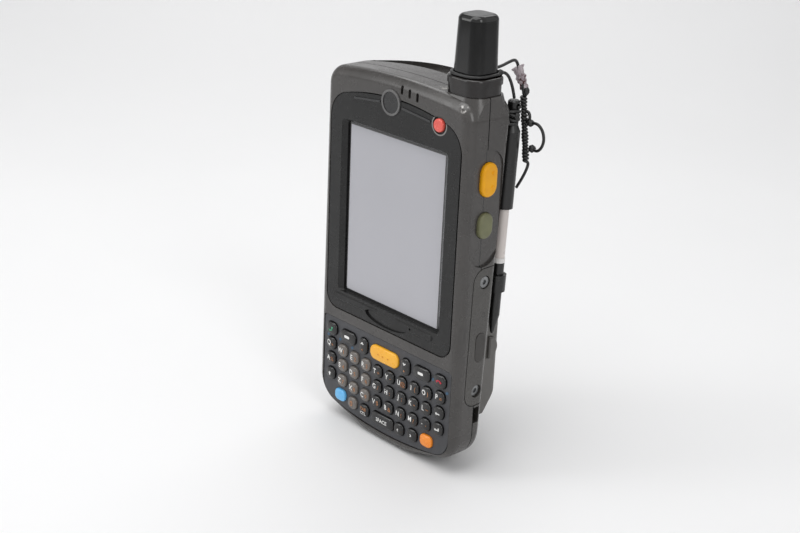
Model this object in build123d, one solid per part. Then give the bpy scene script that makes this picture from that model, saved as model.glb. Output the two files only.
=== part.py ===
from build123d import *
import os
from math import atan, degrees, hypot, pi, radians, tan

# Handheld data terminal: a slab-sided casing with a touch screen over a 44-key keypad, a stub antenna,
# a battery pack and hand strap behind, and a stylus parked at the right rear on its tether.
# Millimetres.  X to the right seen from the front, Y from front to back, Z up.
# The sub-parts are drawn with the front face at Y = 0 and the foot at FOOT_HEIGHT, and are written out
# with the origin in the base.

# ---- casing ----
ORIGIN_DEPTH = 8.0          # front face to the origin
FOOT_HEIGHT = 3.8           # the flat foot, above the line that heights are measured from
HIP_HALF_WIDTH = 42.15      # widest half width, at the lower corners
HIP_HEIGHT = 12.1           # where the sloping underside would meet the sides
FOOT_HALF_WIDTH = 13.0      # flat foot before the underside slopes up
FOOT_RADIUS = 30.0          # softening where the flat foot ends
SHOULDER_HALF_WIDTH = 40.5
SHOULDER_HEIGHT = 158.6
CROWN_HEIGHT = 161.5        # top of the arched head
HIP_RADIUS = 13.0
SHOULDER_RADIUS = 8.0
SPLIT_DEPTH = 10.4          # front face to the parting plane of the two housings
FRONT_EDGE_RADIUS = 4.2
REAR_EDGE_RADIUS = 3.0
REAR_DEPTH_AT_FOOT = 14.2   # depth of the casing's side at the foot
REAR_SLOPE = 0.058          # the back leans out by this much per millimetre of height
DECK_DEPTH = 6.4            # front face to the back of the front housing's deck
BOARD_THICKNESS = 1.2
BOARD_INSET = 0.3           # gap between the board and the cavity's walls
CAVITY_HALF_WIDTH = 32.4
CAVITY_CORNER = 5.0
CAVITY_BOTTOM = 11.0
CAVITY_TOP = 148.0
REAR_CAVITY_BOTTOM = 22.0
BAY_WALL = 2.2              # wall between the rear cavity and the battery bay
FIT = 0.1                   # gap round a fixed piece let into its seat
GROOVE_WIDTH = 0.55         # shadow groove round the bezel
GROOVE_DEPTH = 1.2
FINE_GROOVE = 0.35          # narrower grooves: round the keypad, the door and along the parting line

# ---- display ----
SCREEN_WIDTH = 54.0
SCREEN_HEIGHT = 71.5
SCREEN_CENTRE_HEIGHT = 100.9
WINDOW_BORDER = 1.2         # dark border between the lit area and the bezel's window
WINDOW_CORNER = 1.2
DISH_BORDER = 3.4           # the bezel's window slopes out to this, at its sides
DISH_LIFT = 0.5             # and to this much above its middle
DISH_DEPTH = 1.5
DISH_CORNER = 2.4
BEZEL_HALF_WIDTH = 36.8
BEZEL_BOTTOM = 55.6
BEZEL_SHOULDER = 147.2
BEZEL_CROWN = 152.9
BEZEL_CORNER = 6.0
BEZEL_TOP_CORNER = 11.0
BEZEL_THICKNESS = 2.2
TOUCH_PANEL_THICKNESS = 1.1
TOUCH_PANEL_MARGIN = 2.6    # panel beyond the window, all round
LCD_MARGIN = 1.4
BAR_LENGTH = 59.0           # raised bar under the screen
BAR_HEIGHT = 3.0
BAR_PROUD = 0.5
BAR_CENTRE = (-2.5, 61.2)
SCOOP_LENGTH = 25.0         # thumb scoop in the middle of the bar
SCOOP_HEIGHT = 6.6
SCOOP_DEPTH = 0.8
MICROPHONE_OFFSET = 14.5
MICROPHONE_RADIUS = 0.5

# ---- badge, status lights, earpiece, power button ----
EMBLEM_RADIUS = 5.2
EMBLEM_PLACE = (-1.9, 151.3)
EMBLEM_PROUD = 0.5
LIGHT_BAR_WIDTH = 0.9
LIGHT_BAR_PROUD = 0.25
LIGHT_BAR_DEPTH = 1.0
LIGHT_BAR_GAP = 0.9         # between a bar and the badge
LEFT_LIGHT_BAR_OUTER = 23.2
RIGHT_LIGHT_BAR_OUTER = 20.2
LIGHT_BAR_INNER_HEIGHT = 150.4
LIGHT_BAR_OUTER_HEIGHT = 148.7
EARPIECE_SLOTS = 3
EARPIECE_SLOT_SIZE = (1.3, 3.6)
EARPIECE_PITCH = 4.3
EARPIECE_FIRST = 3.8
EARPIECE_HEIGHT = 157.4
EARPIECE_STEP = 0.6         # each slot lower than the one before
EARPIECE_DEPTH = 3.0
POWER_BUTTON_RADIUS = 2.6
POWER_BUTTON_PLACE = (24.8, 148.4)
POWER_SEAT_RADIUS = 3.5     # sunk ring round the button
POWER_SEAT_DEPTH = 0.5
POWER_BUTTON_PROUD = 0.9
BUTTON_CLEARANCE = 0.2
POWER_BUTTON_ROOT = 1.2     # button behind the bezel
POWER_BUTTON_TRAVEL_ROOM = 0.7

# ---- keypad ----
KEYPAD_HALF_WIDTH = 38.4
KEYPAD_TOP = 50.2
KEYPAD_CORNER_HEIGHT = 12.9
KEYPAD_BOTTOM = 8.3
KEYPAD_TOP_CORNER = 1.4
KEYPAD_BOTTOM_CORNER = 9.0
KEYPAD_SUNK = 0.4           # plate below the front face
KEYPAD_PLATE_THICKNESS = 1.3
KEYPAD_MAT_THICKNESS = 1.0
KEYPAD_MAT_INSET = 1.6
KEY_PROUD = 1.4             # key tops above the plate
KEY_CLEARANCE = 0.2
KEY_TRAVEL_ROOM = 0.6       # air between a key's back and the mat
KEY_UNDER = 0.9             # key below the plate's back face
KEY_EDGE_RADIUS = 0.8
KEY_PITCH = 7.35
KEY_SIZE = (5.5, 5.6, 2.3)  # width, height, corner radius
ROW_HEIGHTS = (35.5, 28.55, 21.3, 14.0)
ROW_SAG = 0.0023            # rows rise towards the sides by this times x squared
LETTER_ROW_COLUMNS = (range(0, 10), range(0, 9), range(1, 9))
BOTTOM_KEYS = {
    "key_blue": (-26.6, 6.6, 5.4, 2.3),
    "key_zero": (-18.6, 5.5, 5.6, 2.3),
    "key_tab": (-11.1, 5.8, 5.6, 2.3),
    "key_space": (0.5, 13.6, 5.6, 2.3),
    "key_left_symbol": (10.6, 5.6, 5.6, 2.3),
    "key_right_symbol": (18.5, 5.6, 5.6, 2.3),
    "key_orange": (26.6, 6.8, 5.4, 2.3),
}
TOP_KEYS = {
    "key_call": (-33.1, 44.9, 6.6, 5.8, 2.4),
    "key_soft_left": (-22.6, 44.4, 9.6, 5.6, 2.4),
    "key_up": (-12.9, 43.8, 5.2, 7.4, 2.5),
    "key_scan": (0.0, 43.8, 17.0, 6.6, 3.2),
    "key_down": (12.8, 43.8, 5.2, 7.4, 2.5),
    "key_soft_right": (22.4, 44.4, 9.6, 5.6, 2.4),
    "key_end": (32.8, 44.9, 6.6, 5.8, 2.4),
}
BACKSPACE_COLUMN = 9
SHIFT_COLUMN = 0
ENTER_COLUMN = 9

# ---- side buttons ----
SIDE_RECESS_CENTRE = (11.4, 117.2)
SIDE_RECESS_LENGTH = 47.0
SIDE_RECESS_WIDTH = 16.4
SIDE_RECESS_DEPTH = 0.8
SIDE_BUTTON_PROUD = 1.8     # above the recess floor
SIDE_BUTTON_ROOT = 2.2      # below the recess floor
SIDE_BUTTON_TRAVEL_ROOM = 0.7
SCAN_BUTTON_SIZE = (13.6, 8.2)
SCAN_BUTTON_CENTRE = (11.8, 128.9)
ACTION_BUTTON_SIZE = (10.4, 7.4)
ACTION_BUTTON_CENTRE = (11.3, 110.6)
BUTTON_BUMP_RADIUS = 0.7    # two feel bumps on the right scan button
BUTTON_BUMP_SPACING = 5.6
BUTTON_BUMP_DEPTH = 1.4     # behind the button's middle
BUTTON_BUMP_PROUD = 0.25
ROCKER_SIZE = (17.0, 7.0)
ROCKER_CENTRE = (11.3, 109.9)
ROCKER_CLEARANCE = 0.3
WAIST_RADIUS = 3.8          # hollow between the rocker's two ends
WAIST_DEPTH = 0.6
SIDE_BUTTON_EDGE_RADIUS = 1.2

# ---- access door, screws ----
DOOR_BOTTOM = 34.6
DOOR_TOP = 92.8
DOOR_FRONT_AT_TOP = 7.0
DOOR_FRONT_AT_BOTTOM = 4.9
DOOR_REAR = 22.0
DOOR_CORNER = 5.5
DOOR_INNER = HIP_HALF_WIDTH - 3.75
DOOR_GROOVE_DEPTH = 1.0
DOOR_SCREW_PLACES = ((13.0, 87.0), (11.5, 40.6))
COUNTERBORE_RADIUS = 2.75
COUNTERBORE_FLOOR = DOOR_INNER + 1.5
SCREW_HEAD_RADIUS = 2.3
SCREW_HEAD_THICKNESS = 1.0
SCREW_SOCKET = (1.1, 0.6)   # radius over the corners and depth of the drive socket
DOOR_SCREW_RADIUS = 1.2
DOOR_SCREW_END = DOOR_INNER - 4.4
SCREW_GAP = 0.05
PLUG_CENTRE = (12.2, 59.5)
PLUG_SIZE = (12.4, 5.2)
PLUG_DEPTH = 1.6
PLUG_PROUD = 0.15
LANYARD_SLOT_WIDTH = 3.3
LANYARD_SLOT_HEIGHTS = (26.4, 33.3)
LANYARD_BAR_INNER = HIP_HALF_WIDTH - 3.65
LANYARD_SLOT_INNER = HIP_HALF_WIDTH - 8.15
HOUSING_SCREW_PLACES = ((-35.4, 17.5), (35.4, 17.5), (-35.4, 103.0), (35.4, 103.0))
HOUSING_SCREW_RADIUS = 1.25
HOUSING_SCREW_END = 6.2
HOUSING_SCREW_SUNK = 2.2

# ---- back: head, spine, battery, base ----
HEAD_BOTTOM = 119.0
HEAD_REAR = 33.0
HEAD_ARC_RADIUS = 49.0      # the head's back, seen from above
HEAD_EDGE = 3.0
HEAD_CUT = (12.6, 151.0)    # the left upper corner is cut away above a slope from here, as Y and Z
HEAD_CUT_SIDE = -20.0
HEAD_CUT_SLOPE = 1.1
SPINE_LEFT = -30.0
SPINE_RIGHT = 28.0
SPINE_REAR = 29.5
SPINE_TOP = 121.0
SPINE_RADIUS = 4.0
BATTERY_HALF_WIDTH = 31.0
BATTERY_BOTTOM = 21.0
BATTERY_TOP = 76.2
BATTERY_FRONT = 15.0
BATTERY_REAR = 36.0
BATTERY_CHAMFER = (8.0, 11.0)
BATTERY_SIDE_RADIUS = 3.5
BATTERY_TOP_RADIUS = 3.0
BATTERY_GAP = 0.3
LATCH_RADIUS = 4.8
LATCH_CENTRE = (28.5, 51.0)
LATCH_THICKNESS = 2.8
LATCH_PROUD = 1.4
LATCH_GAP = 0.2
LATCH_TRAVEL_ROOM = 1.0
BOSS_HALF_WIDTH = 26.0
BOSS_REAR = 19.5
BOSS_TOP = 20.6
DOCK_SIZE = (24.0, 4.4, 3.0)
DOCK_CENTRE_DEPTH = 14.2
DOCK_SUNK = 0.6
DOCK_PINS = 8
DOCK_PIN_PITCH = 2.4
DOCK_PIN_SIZE = (1.2, 2.6)
DOCK_PIN_PROUD = 0.2

# ---- scan window and engine ----
WINDOW_FLOOR = 158.7        # floor of the recess cut in the crown
RECESS_ENDS = (-32.0, 15.0) # X of the recess's left and right ends
RECESS_LIP = 21.2           # depth of the recess's front edge, at X = 0
RECESS_LIP_RADIUS = 93.0    # that edge bows to the rear
RECESS_RIM = 1.6            # rim left between the recess and the head's back
SCAN_WINDOW_SIZE = (26.0, 4.4)
SCAN_WINDOW_CENTRE = (-5.0, 24.8)
SCAN_WINDOW_CORNER = 1.5
SCAN_WINDOW_THICKNESS = 1.4
ENGINE_SIZE = (22.0, 11.0, 14.0)
ENGINE_SETBACK = 2.6        # engine's centre in front of the window's
ENGINE_BELOW_WINDOW = 1.6
ENGINE_WINDOW_INSET = 0.5   # opening between engine and window, inside the window's edge
LENS_RADIUS = 1.6
LENS_BELOW_WINDOW = 0.3

# ---- antenna ----
ANTENNA_CENTRE = (30.2, 12.2)
ANTENNA_BASE_SIZE = (14.2, 14.8)
ANTENNA_TOP_SIZE = (12.8, 13.4)
ANTENNA_CORNER = 4.9
ANTENNA_TOP = 190.3
ANTENNA_TOP_RADIUS = 2.2
COLLAR_SIZE = (19.4, 17.8)
COLLAR_CORNER = 6.4
COLLAR_BOTTOM = 160.6
COLLAR_STEP = 164.6         # the flange on top of the collar starts here
COLLAR_STEP_INSET = 0.5
COLLAR_TOP = 167.4
COLLAR_EDGE = 0.9
SPIGOT_RADIUS = 7.0         # the collar's round foot in the shoulder
SPIGOT_BOTTOM = 153.0
SHOULDER_FLARE = (4.0, 3.0) # the shoulder boss is wider and deeper than the collar by twice this, below
SHOULDER_BOSS_BOTTOM = 149.0
STUD_RADIUS = 3.5
STUD_LENGTH = 5.0

# ---- stylus ----
STYLUS_SIDE = 36.0
STYLUS_FOOT_DEPTH = 24.9    # depth of the axis at the tip
STYLUS_TIP_HEIGHT = 60.5
STYLUS_LEAN = 0.0365        # depth gained per millimetre of height
GRIP_RADIUS = 2.4
GRIP_TOP = 91.0
TIP_RADIUS = 0.9
TIP_TAPER = 8.0
RING_HEIGHT = 2.0
RING_RADIUS = 2.45
BARREL_RADIUS = 2.2
BARREL_TOP_RADIUS = 1.9
CAP_BOTTOM = 113.6
CAP_BOTTOM_RADIUS = 3.5
CAP_RADIUS = 3.5
CAP_SHOULDER = 144.4
NECK_BOTTOM = 146.8
NECK_RADIUS = 2.4
CAP_TOP = 156.6
SPIGOT_LENGTH = 8.0
SPIGOT_GAP = 0.05
EYELET_RADIUS = 0.85
EYELET_BELOW_TOP = 1.9
HOLDER_HEIGHTS = (79.0, 86.0)
HOLDER_GAP = 0.08
HOLDER_WALL = 1.1
HOLDER_WEB = (3.4, 6.0)     # depth and height of the web to the spine

# ---- hand strap ----
STRAP_WIDTH = 25.0
STRAP_THICKNESS = 2.2
STRAP_BAR_PLACE = (33.8, 107.2)
STRAP_BAR_RADIUS = 1.5
STRAP_EAR_WIDTH = 2.2
STRAP_EAR_GAP = 0.8
STRAP_EAR_RADIUS = 3.0
STRAP_SLEEVE_GAP = 0.3
STRAP_SLEEVE_WALL = 1.3
CLIP_BAR_PLACE = (25.6, 10.8)
CLIP_BAR_RADIUS = 1.3
CLIP_THICKNESS = 1.8
CLIP_HEIGHTS = (6.2, 15.6)
STRAP_KNEES = ((45.6, 37.0, 10.0), (49.0, 52.0, 12.0), (49.0, 84.0, 14.0))

# ---- stylus tether ----
CORD_DIAMETER = 1.2
CURL_DIAMETER = 3.0
NOOSE_HEIGHT = 168.2
NOOSE_GAP = 0.2
LEAD_ROUTE = (
    (35.2, 20.2, 168.2), (36.2, 23.4, 167.4), (36.3, 26.6, 162.0), (36.0, 28.3, 157.2))
RISER_ROUTE = (
    (30.6, 21.2, 168.3), (31.6, 24.4, 169.0), (32.6, 27.4, 170.4), (32.6, 30.6, 171.0),
    (31.6, 33.4, 169.7), (32.6, 34.3, 166.6), (34.6, 34.3, 163.2), (35.8, 34.3, 160.2), (35.5, 34.3, 157.6))
COIL_ROUTE = ((35.3, 34.3, 157.2), (36.6, 34.3, 148.0), (37.8, 34.3, 140.0), (38.9, 34.3, 131.6))
TAIL_ROUTE = ((39.0, 34.3, 130.9), (38.9, 34.2, 127.6), (37.8, 33.8, 124.0), (35.9, 33.4, 120.4))
LOOP_ROUTE = (
    (39.9, 34.3, 147.2), (42.4, 34.3, 147.9), (45.0, 34.3, 146.9), (46.8, 34.3, 144.6),
    (47.3, 34.3, 141.4), (46.0, 34.3, 138.2), (43.6, 34.3, 136.6), (41.6, 34.3, 137.4))
KNOT_RADIUS = 1.5
FLAG_WIDTH = 4.6
FLAG_THICKNESS = 2.8
FLAG_ENDS = ((32.3, 167.1), (35.0, 162.5))
FLAG_DEPTH = 34.3
FLAG_HOLE_GAP = 0.45


def front_slab(sketch, near, far):
    """A sketch drawn in X and Z, carried from depth near to depth far."""
    return extrude(Plane.XZ.offset(-near) * sketch, amount=near - far)


def side_slab(sketch, left, right):
    """A sketch drawn in Y and Z, carried from X = left to X = right."""
    return extrude(Plane.YZ.offset(left) * sketch, amount=right - left)


def top_slab(sketch, low, high):
    """A sketch drawn in X and Y, carried from Z = low to Z = high."""
    return extrude(Plane.XY.offset(low) * sketch, amount=high - low)


def front_pin(place, radius, near, far):
    """A round pin along Y at place, given as X and Z."""
    return front_slab(Pos(place[0], place[1]) * Circle(radius), near, far)


def side_pin(place, radius, left, right):
    """A round pin along X at place, given as Y and Z."""
    return side_slab(Pos(place[0], place[1]) * Circle(radius), left, right)


def pill(length, width):
    """An upright stadium shape."""
    return Rot(0, 0, 90) * SlotOverall(length, width)


def side_half_width(height):
    """Half width of the casing at a height: the sides lean in towards the shoulders."""
    lean = (HIP_HALF_WIDTH - SHOULDER_HALF_WIDTH) / (SHOULDER_HEIGHT - HIP_HEIGHT)
    return HIP_HALF_WIDTH - (height - HIP_HEIGHT) * lean


def rear_depth(height):
    """Depth of the casing's sloping back at a height."""
    return REAR_DEPTH_AT_FOOT + REAR_SLOPE * height


def ring_face(solid, position):
    """The face of a solid that is furthest along an axis."""
    return solid.faces().sort_by(position)[-1]


def corners_at(face, height):
    """The corners of an X-Z outline at a height."""
    return [v for v in face.vertices() if abs(v.Y - height) < 0.01]


# ---- casing ----

def body_outline():
    """Front view of the casing: flat foot, sloping underside, leaning sides, arched crown."""
    sides = Polyline(
        (-SHOULDER_HALF_WIDTH, SHOULDER_HEIGHT), (-HIP_HALF_WIDTH, HIP_HEIGHT),
        (-FOOT_HALF_WIDTH, FOOT_HEIGHT), (FOOT_HALF_WIDTH, FOOT_HEIGHT),
        (HIP_HALF_WIDTH, HIP_HEIGHT), (SHOULDER_HALF_WIDTH, SHOULDER_HEIGHT))
    crown = ThreePointArc(
        (SHOULDER_HALF_WIDTH, SHOULDER_HEIGHT), (0, CROWN_HEIGHT), (-SHOULDER_HALF_WIDTH, SHOULDER_HEIGHT))
    face = make_face(sides + crown)
    face = fillet(corners_at(face, SHOULDER_HEIGHT), SHOULDER_RADIUS)
    face = fillet(corners_at(face, HIP_HEIGHT), HIP_RADIUS)
    return fillet(corners_at(face, FOOT_HEIGHT), FOOT_RADIUS)


def body_block():
    """The slab of the casing from its front face to its sloping back, with its edges rounded."""
    tall = 2 * CROWN_HEIGHT
    block = front_slab(body_outline(), 0, rear_depth(tall))
    keep = Polygon(
        (-tall, -tall), (rear_depth(-tall), -tall), (rear_depth(tall), tall), (-tall, tall), align=None)
    block = block & side_slab(keep, -2 * HIP_HALF_WIDTH, 2 * HIP_HALF_WIDTH)
    block = fillet(ring_face(block, Axis.Y).edges(), REAR_EDGE_RADIUS)
    front = block.faces().sort_by(Axis.Y)[0]
    return fillet(front.edges(), FRONT_EDGE_RADIUS)


def head_plan(inset=0.0):
    """Plan of the head's bowed back, drawn in by an inset."""
    return Pos(0, HEAD_REAR - HEAD_ARC_RADIUS) * Circle(HEAD_ARC_RADIUS - inset)


def head():
    """The raised head that holds the scan window, with a back that bows out in the middle."""
    box = Pos(0, HEAD_BOTTOM + CROWN_HEIGHT / 2) * Rectangle(4 * HIP_HALF_WIDTH, CROWN_HEIGHT)
    slab = front_slab(body_outline() & box, SPLIT_DEPTH, 2 * HEAD_REAR)
    rounded = slab & top_slab(head_plan(), 0, 2 * CROWN_HEIGHT)
    back = ring_face(rounded, Axis.Y)
    return fillet(back.edges().sort_by(Axis.Z)[1:], HEAD_EDGE)


def head_corner():
    """The left upper corner behind the front housing, which the bowed head takes the place of."""
    depth, height = HEAD_CUT
    low = height - HEAD_CUT_SLOPE * (HEAD_REAR - depth)
    wedge = Polygon(
        (depth, height), (HEAD_REAR, low), (HEAD_REAR, 2 * CROWN_HEIGHT), (depth, 2 * CROWN_HEIGHT),
        align=None)
    return side_slab(wedge, -2 * HIP_HALF_WIDTH, HEAD_CUT_SIDE)


def spine():
    """The raised, narrower back between the head and the battery."""
    width = SPINE_RIGHT - SPINE_LEFT
    depth = SPINE_REAR - SPLIT_DEPTH
    plan = Pos((SPINE_RIGHT + SPINE_LEFT) / 2, SPLIT_DEPTH + depth / 2) * Rectangle(width, depth)
    block = top_slab(plan, BATTERY_TOP + BATTERY_GAP, SPINE_TOP)
    back = ring_face(block, Axis.Y)
    return fillet(back.edges().sort_by(Axis.Z)[1:], SPINE_RADIUS)


def base_boss():
    """The thicker middle of the base, which holds the dock connector and the strap clip."""
    width = 2 * BOSS_HALF_WIDTH
    box = Rectangle(width, 2 * BOSS_TOP)
    boss = front_slab(body_outline() & box, SPLIT_DEPTH, BOSS_REAR)
    back = ring_face(boss, Axis.Y)
    return chamfer(back.edges().filter_by(Axis.Z), REAR_EDGE_RADIUS / 2)


def side_recess(side):
    """The shallow stadium recess round the side buttons, on the right (1) or left (-1) side."""
    outer = HIP_HALF_WIDTH + SIDE_RECESS_DEPTH
    floor = side_floor()
    shape = Pos(*SIDE_RECESS_CENTRE) * pill(SIDE_RECESS_LENGTH, SIDE_RECESS_WIDTH)
    return side_slab(shape, min(side * floor, side * outer), max(side * floor, side * outer))


def parting_groove():
    """The fine groove all round the casing where the two housings meet."""
    frame = Rectangle(4 * CROWN_HEIGHT, 4 * CROWN_HEIGHT) - offset(body_outline(), -FINE_GROOVE)
    return front_slab(frame, SPLIT_DEPTH - FINE_GROOVE / 2, SPLIT_DEPTH + FINE_GROOVE / 2)


def side_floor():
    """Half width at the floor of the side recess."""
    return side_half_width(SIDE_RECESS_CENTRE[1]) - SIDE_RECESS_DEPTH


def side_button(side, centre, size, grow=0.0, extra_depth=0.0):
    """A stadium button that stands out of the side recess; grown, it is the hole for it."""
    inner = side_floor() - SIDE_BUTTON_ROOT - extra_depth
    outer = side_floor() + SIDE_BUTTON_PROUD
    shape = Pos(*centre) * pill(size[0] + 2 * grow, size[1] + 2 * grow)
    return side_slab(shape, min(side * inner, side * outer), max(side * inner, side * outer))


def scan_button_right():
    """The right scan button, with two feel bumps."""
    button = round_button_face(side_button(1, SCAN_BUTTON_CENTRE, SCAN_BUTTON_SIZE), 1)
    face = side_floor() + SIDE_BUTTON_PROUD
    depth, height = SCAN_BUTTON_CENTRE
    for up in (-BUTTON_BUMP_SPACING / 2, BUTTON_BUMP_SPACING / 2):
        place = (depth + BUTTON_BUMP_DEPTH, height + up)
        button += side_pin(place, BUTTON_BUMP_RADIUS, face - BUTTON_BUMP_PROUD, face + BUTTON_BUMP_PROUD)
    return button


def round_button_face(button, side):
    """Round the outer rim of a side button."""
    faces = button.faces().sort_by(Axis.X)
    outer = faces[-1] if side > 0 else faces[0]
    return fillet(outer.edges(), SIDE_BUTTON_EDGE_RADIUS)


def door_prism(grow):
    """The space of the side access door, grown by a clearance."""
    outline = Polygon(
        (DOOR_FRONT_AT_BOTTOM - grow, DOOR_BOTTOM - grow), (DOOR_REAR, DOOR_BOTTOM - grow),
        (DOOR_REAR, DOOR_TOP + grow), (DOOR_FRONT_AT_TOP - grow, DOOR_TOP + grow), align=None)
    front_corners = outline.vertices().sort_by(Axis.X)[:2]
    outline = fillet(front_corners, DOOR_CORNER + grow)
    return side_slab(outline, DOOR_INNER - grow, HIP_HALF_WIDTH + DOOR_CORNER)


def door_groove():
    """The fine groove round the door, cut in the housings."""
    side = side_half_width(DOOR_TOP) - DOOR_GROOVE_DEPTH
    return door_prism(FINE_GROOVE) & Pos(side, 0, 0) * Box(
        2 * HIP_HALF_WIDTH, 2 * CROWN_HEIGHT, 2 * CROWN_HEIGHT, align=(Align.MIN, Align.CENTER, Align.CENTER))


def lanyard_slot():
    """The slot at the lower right edge that a wrist lanyard is threaded through."""
    low, high = LANYARD_SLOT_HEIGHTS
    near = SPLIT_DEPTH
    far = near + LANYARD_SLOT_WIDTH
    tall = high - low
    middle = (high + low) / 2
    mouth = side_slab(
        Pos((near + far) / 2, middle) * Rectangle(far - near, tall), LANYARD_SLOT_INNER, 2 * HIP_HALF_WIDTH)
    way_out = side_slab(
        Pos(near + BATTERY_REAR / 2, middle) * Rectangle(BATTERY_REAR, tall), LANYARD_SLOT_INNER,
        LANYARD_BAR_INNER)
    return mouth + way_out


def collar_plan(grow=0.0):
    """Plan of the antenna collar, grown all round."""
    return Pos(*ANTENNA_CENTRE) * RectangleRounded(
        COLLAR_SIZE[0] + 2 * grow, COLLAR_SIZE[1] + 2 * grow, COLLAR_CORNER + grow)


def shoulder_boss():
    """The flared boss of the right shoulder that the antenna collar stands on."""
    wide, deep = SHOULDER_FLARE
    foot = Pos(*ANTENNA_CENTRE) * RectangleRounded(
        COLLAR_SIZE[0] + 2 * wide, COLLAR_SIZE[1] + 2 * deep, COLLAR_CORNER + deep)
    boss = loft([Plane.XY.offset(SHOULDER_BOSS_BOTTOM) * foot,
                 Plane.XY.offset(COLLAR_BOTTOM) * collar_plan(FINE_GROOVE)])
    inside = front_slab(Rectangle(2 * SHOULDER_HALF_WIDTH, 2 * ANTENNA_TOP), 0, HEAD_REAR)
    return boss & inside


def spigot_bore():
    """The bore in the shoulder for the collar's foot, and the flat that the collar sits on."""
    bore = top_slab(Pos(*ANTENNA_CENTRE) * Circle(SPIGOT_RADIUS), SPIGOT_BOTTOM, COLLAR_BOTTOM + 1)
    return bore + top_slab(collar_plan(), COLLAR_BOTTOM, 2 * COLLAR_TOP)


def housing_screw_bores():
    """Bores and counterbores for the screws that hold the two housings together."""
    bores = []
    for place in HOUSING_SCREW_PLACES:
        seat = rear_depth(place[1]) - HOUSING_SCREW_SUNK
        bores.append(front_pin(place, HOUSING_SCREW_RADIUS + SCREW_GAP, HOUSING_SCREW_END, seat))
        bores.append(front_pin(place, COUNTERBORE_RADIUS, seat, 2 * BATTERY_REAR))
    return bores


def door_screw_bores():
    """Bores and counterbores of the door's screws."""
    bores = []
    for place in DOOR_SCREW_PLACES:
        bores.append(side_pin(place, DOOR_SCREW_RADIUS + SCREW_GAP, DOOR_SCREW_END, COUNTERBORE_FLOOR))
        bores.append(side_pin(place, COUNTERBORE_RADIUS, COUNTERBORE_FLOOR, 2 * HIP_HALF_WIDTH))
    return bores


def side_button_holes():
    """Holes for the buttons of both sides."""
    room = SIDE_BUTTON_TRAVEL_ROOM
    gap = BUTTON_CLEARANCE
    return [
        side_recess(1), side_recess(-1),
        side_button(1, SCAN_BUTTON_CENTRE, SCAN_BUTTON_SIZE, gap, room),
        side_button(1, ACTION_BUTTON_CENTRE, ACTION_BUTTON_SIZE, gap, room),
        side_button(-1, SCAN_BUTTON_CENTRE, SCAN_BUTTON_SIZE, gap, room),
        side_button(-1, ROCKER_CENTRE, ROCKER_SIZE, ROCKER_CLEARANCE, room),
    ]


# ---- display ----

def bezel_outline(grow=0.0):
    """Outline of the display bezel, with an arched top."""
    half = BEZEL_HALF_WIDTH + grow
    low = BEZEL_BOTTOM - grow
    sides = Polyline((-half, BEZEL_SHOULDER), (-half, low), (half, low), (half, BEZEL_SHOULDER))
    crown = ThreePointArc((half, BEZEL_SHOULDER), (0, BEZEL_CROWN + grow), (-half, BEZEL_SHOULDER))
    face = make_face(sides + crown)
    face = fillet(corners_at(face, BEZEL_SHOULDER), BEZEL_TOP_CORNER + grow)
    return fillet(corners_at(face, low), BEZEL_CORNER + grow)


def screen_rectangle(margin, corner):
    """A rounded rectangle centred on the screen, larger than it by a margin."""
    return Pos(0, SCREEN_CENTRE_HEIGHT) * RectangleRounded(
        SCREEN_WIDTH + 2 * margin, SCREEN_HEIGHT + 2 * margin, corner)


def window_dish():
    """The slope from the bezel's front down to its window."""
    wide = SCREEN_WIDTH + 2 * DISH_BORDER
    tall = SCREEN_HEIGHT + 2 * (WINDOW_BORDER + DISH_LIFT)
    mouth = Pos(0, SCREEN_CENTRE_HEIGHT + DISH_LIFT) * RectangleRounded(wide, tall, DISH_CORNER)
    throat = screen_rectangle(WINDOW_BORDER, WINDOW_CORNER)
    return loft([Plane.XZ * mouth, Plane.XZ.offset(-DISH_DEPTH) * throat])


def light_bar(side, outer, grow=0.0):
    """One of the two slim status light bars beside the badge."""
    rise = LIGHT_BAR_INNER_HEIGHT - LIGHT_BAR_OUTER_HEIGHT
    inner = EMBLEM_RADIUS + LIGHT_BAR_GAP + side * EMBLEM_PLACE[0]
    length = hypot(outer - inner, rise)
    centre = (side * (outer + inner) / 2, (LIGHT_BAR_INNER_HEIGHT + LIGHT_BAR_OUTER_HEIGHT) / 2)
    turn = -side * degrees(atan(rise / (outer - inner)))
    return Pos(*centre) * Rot(0, 0, turn) * SlotOverall(length + 2 * grow, LIGHT_BAR_WIDTH + 2 * grow)


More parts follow.
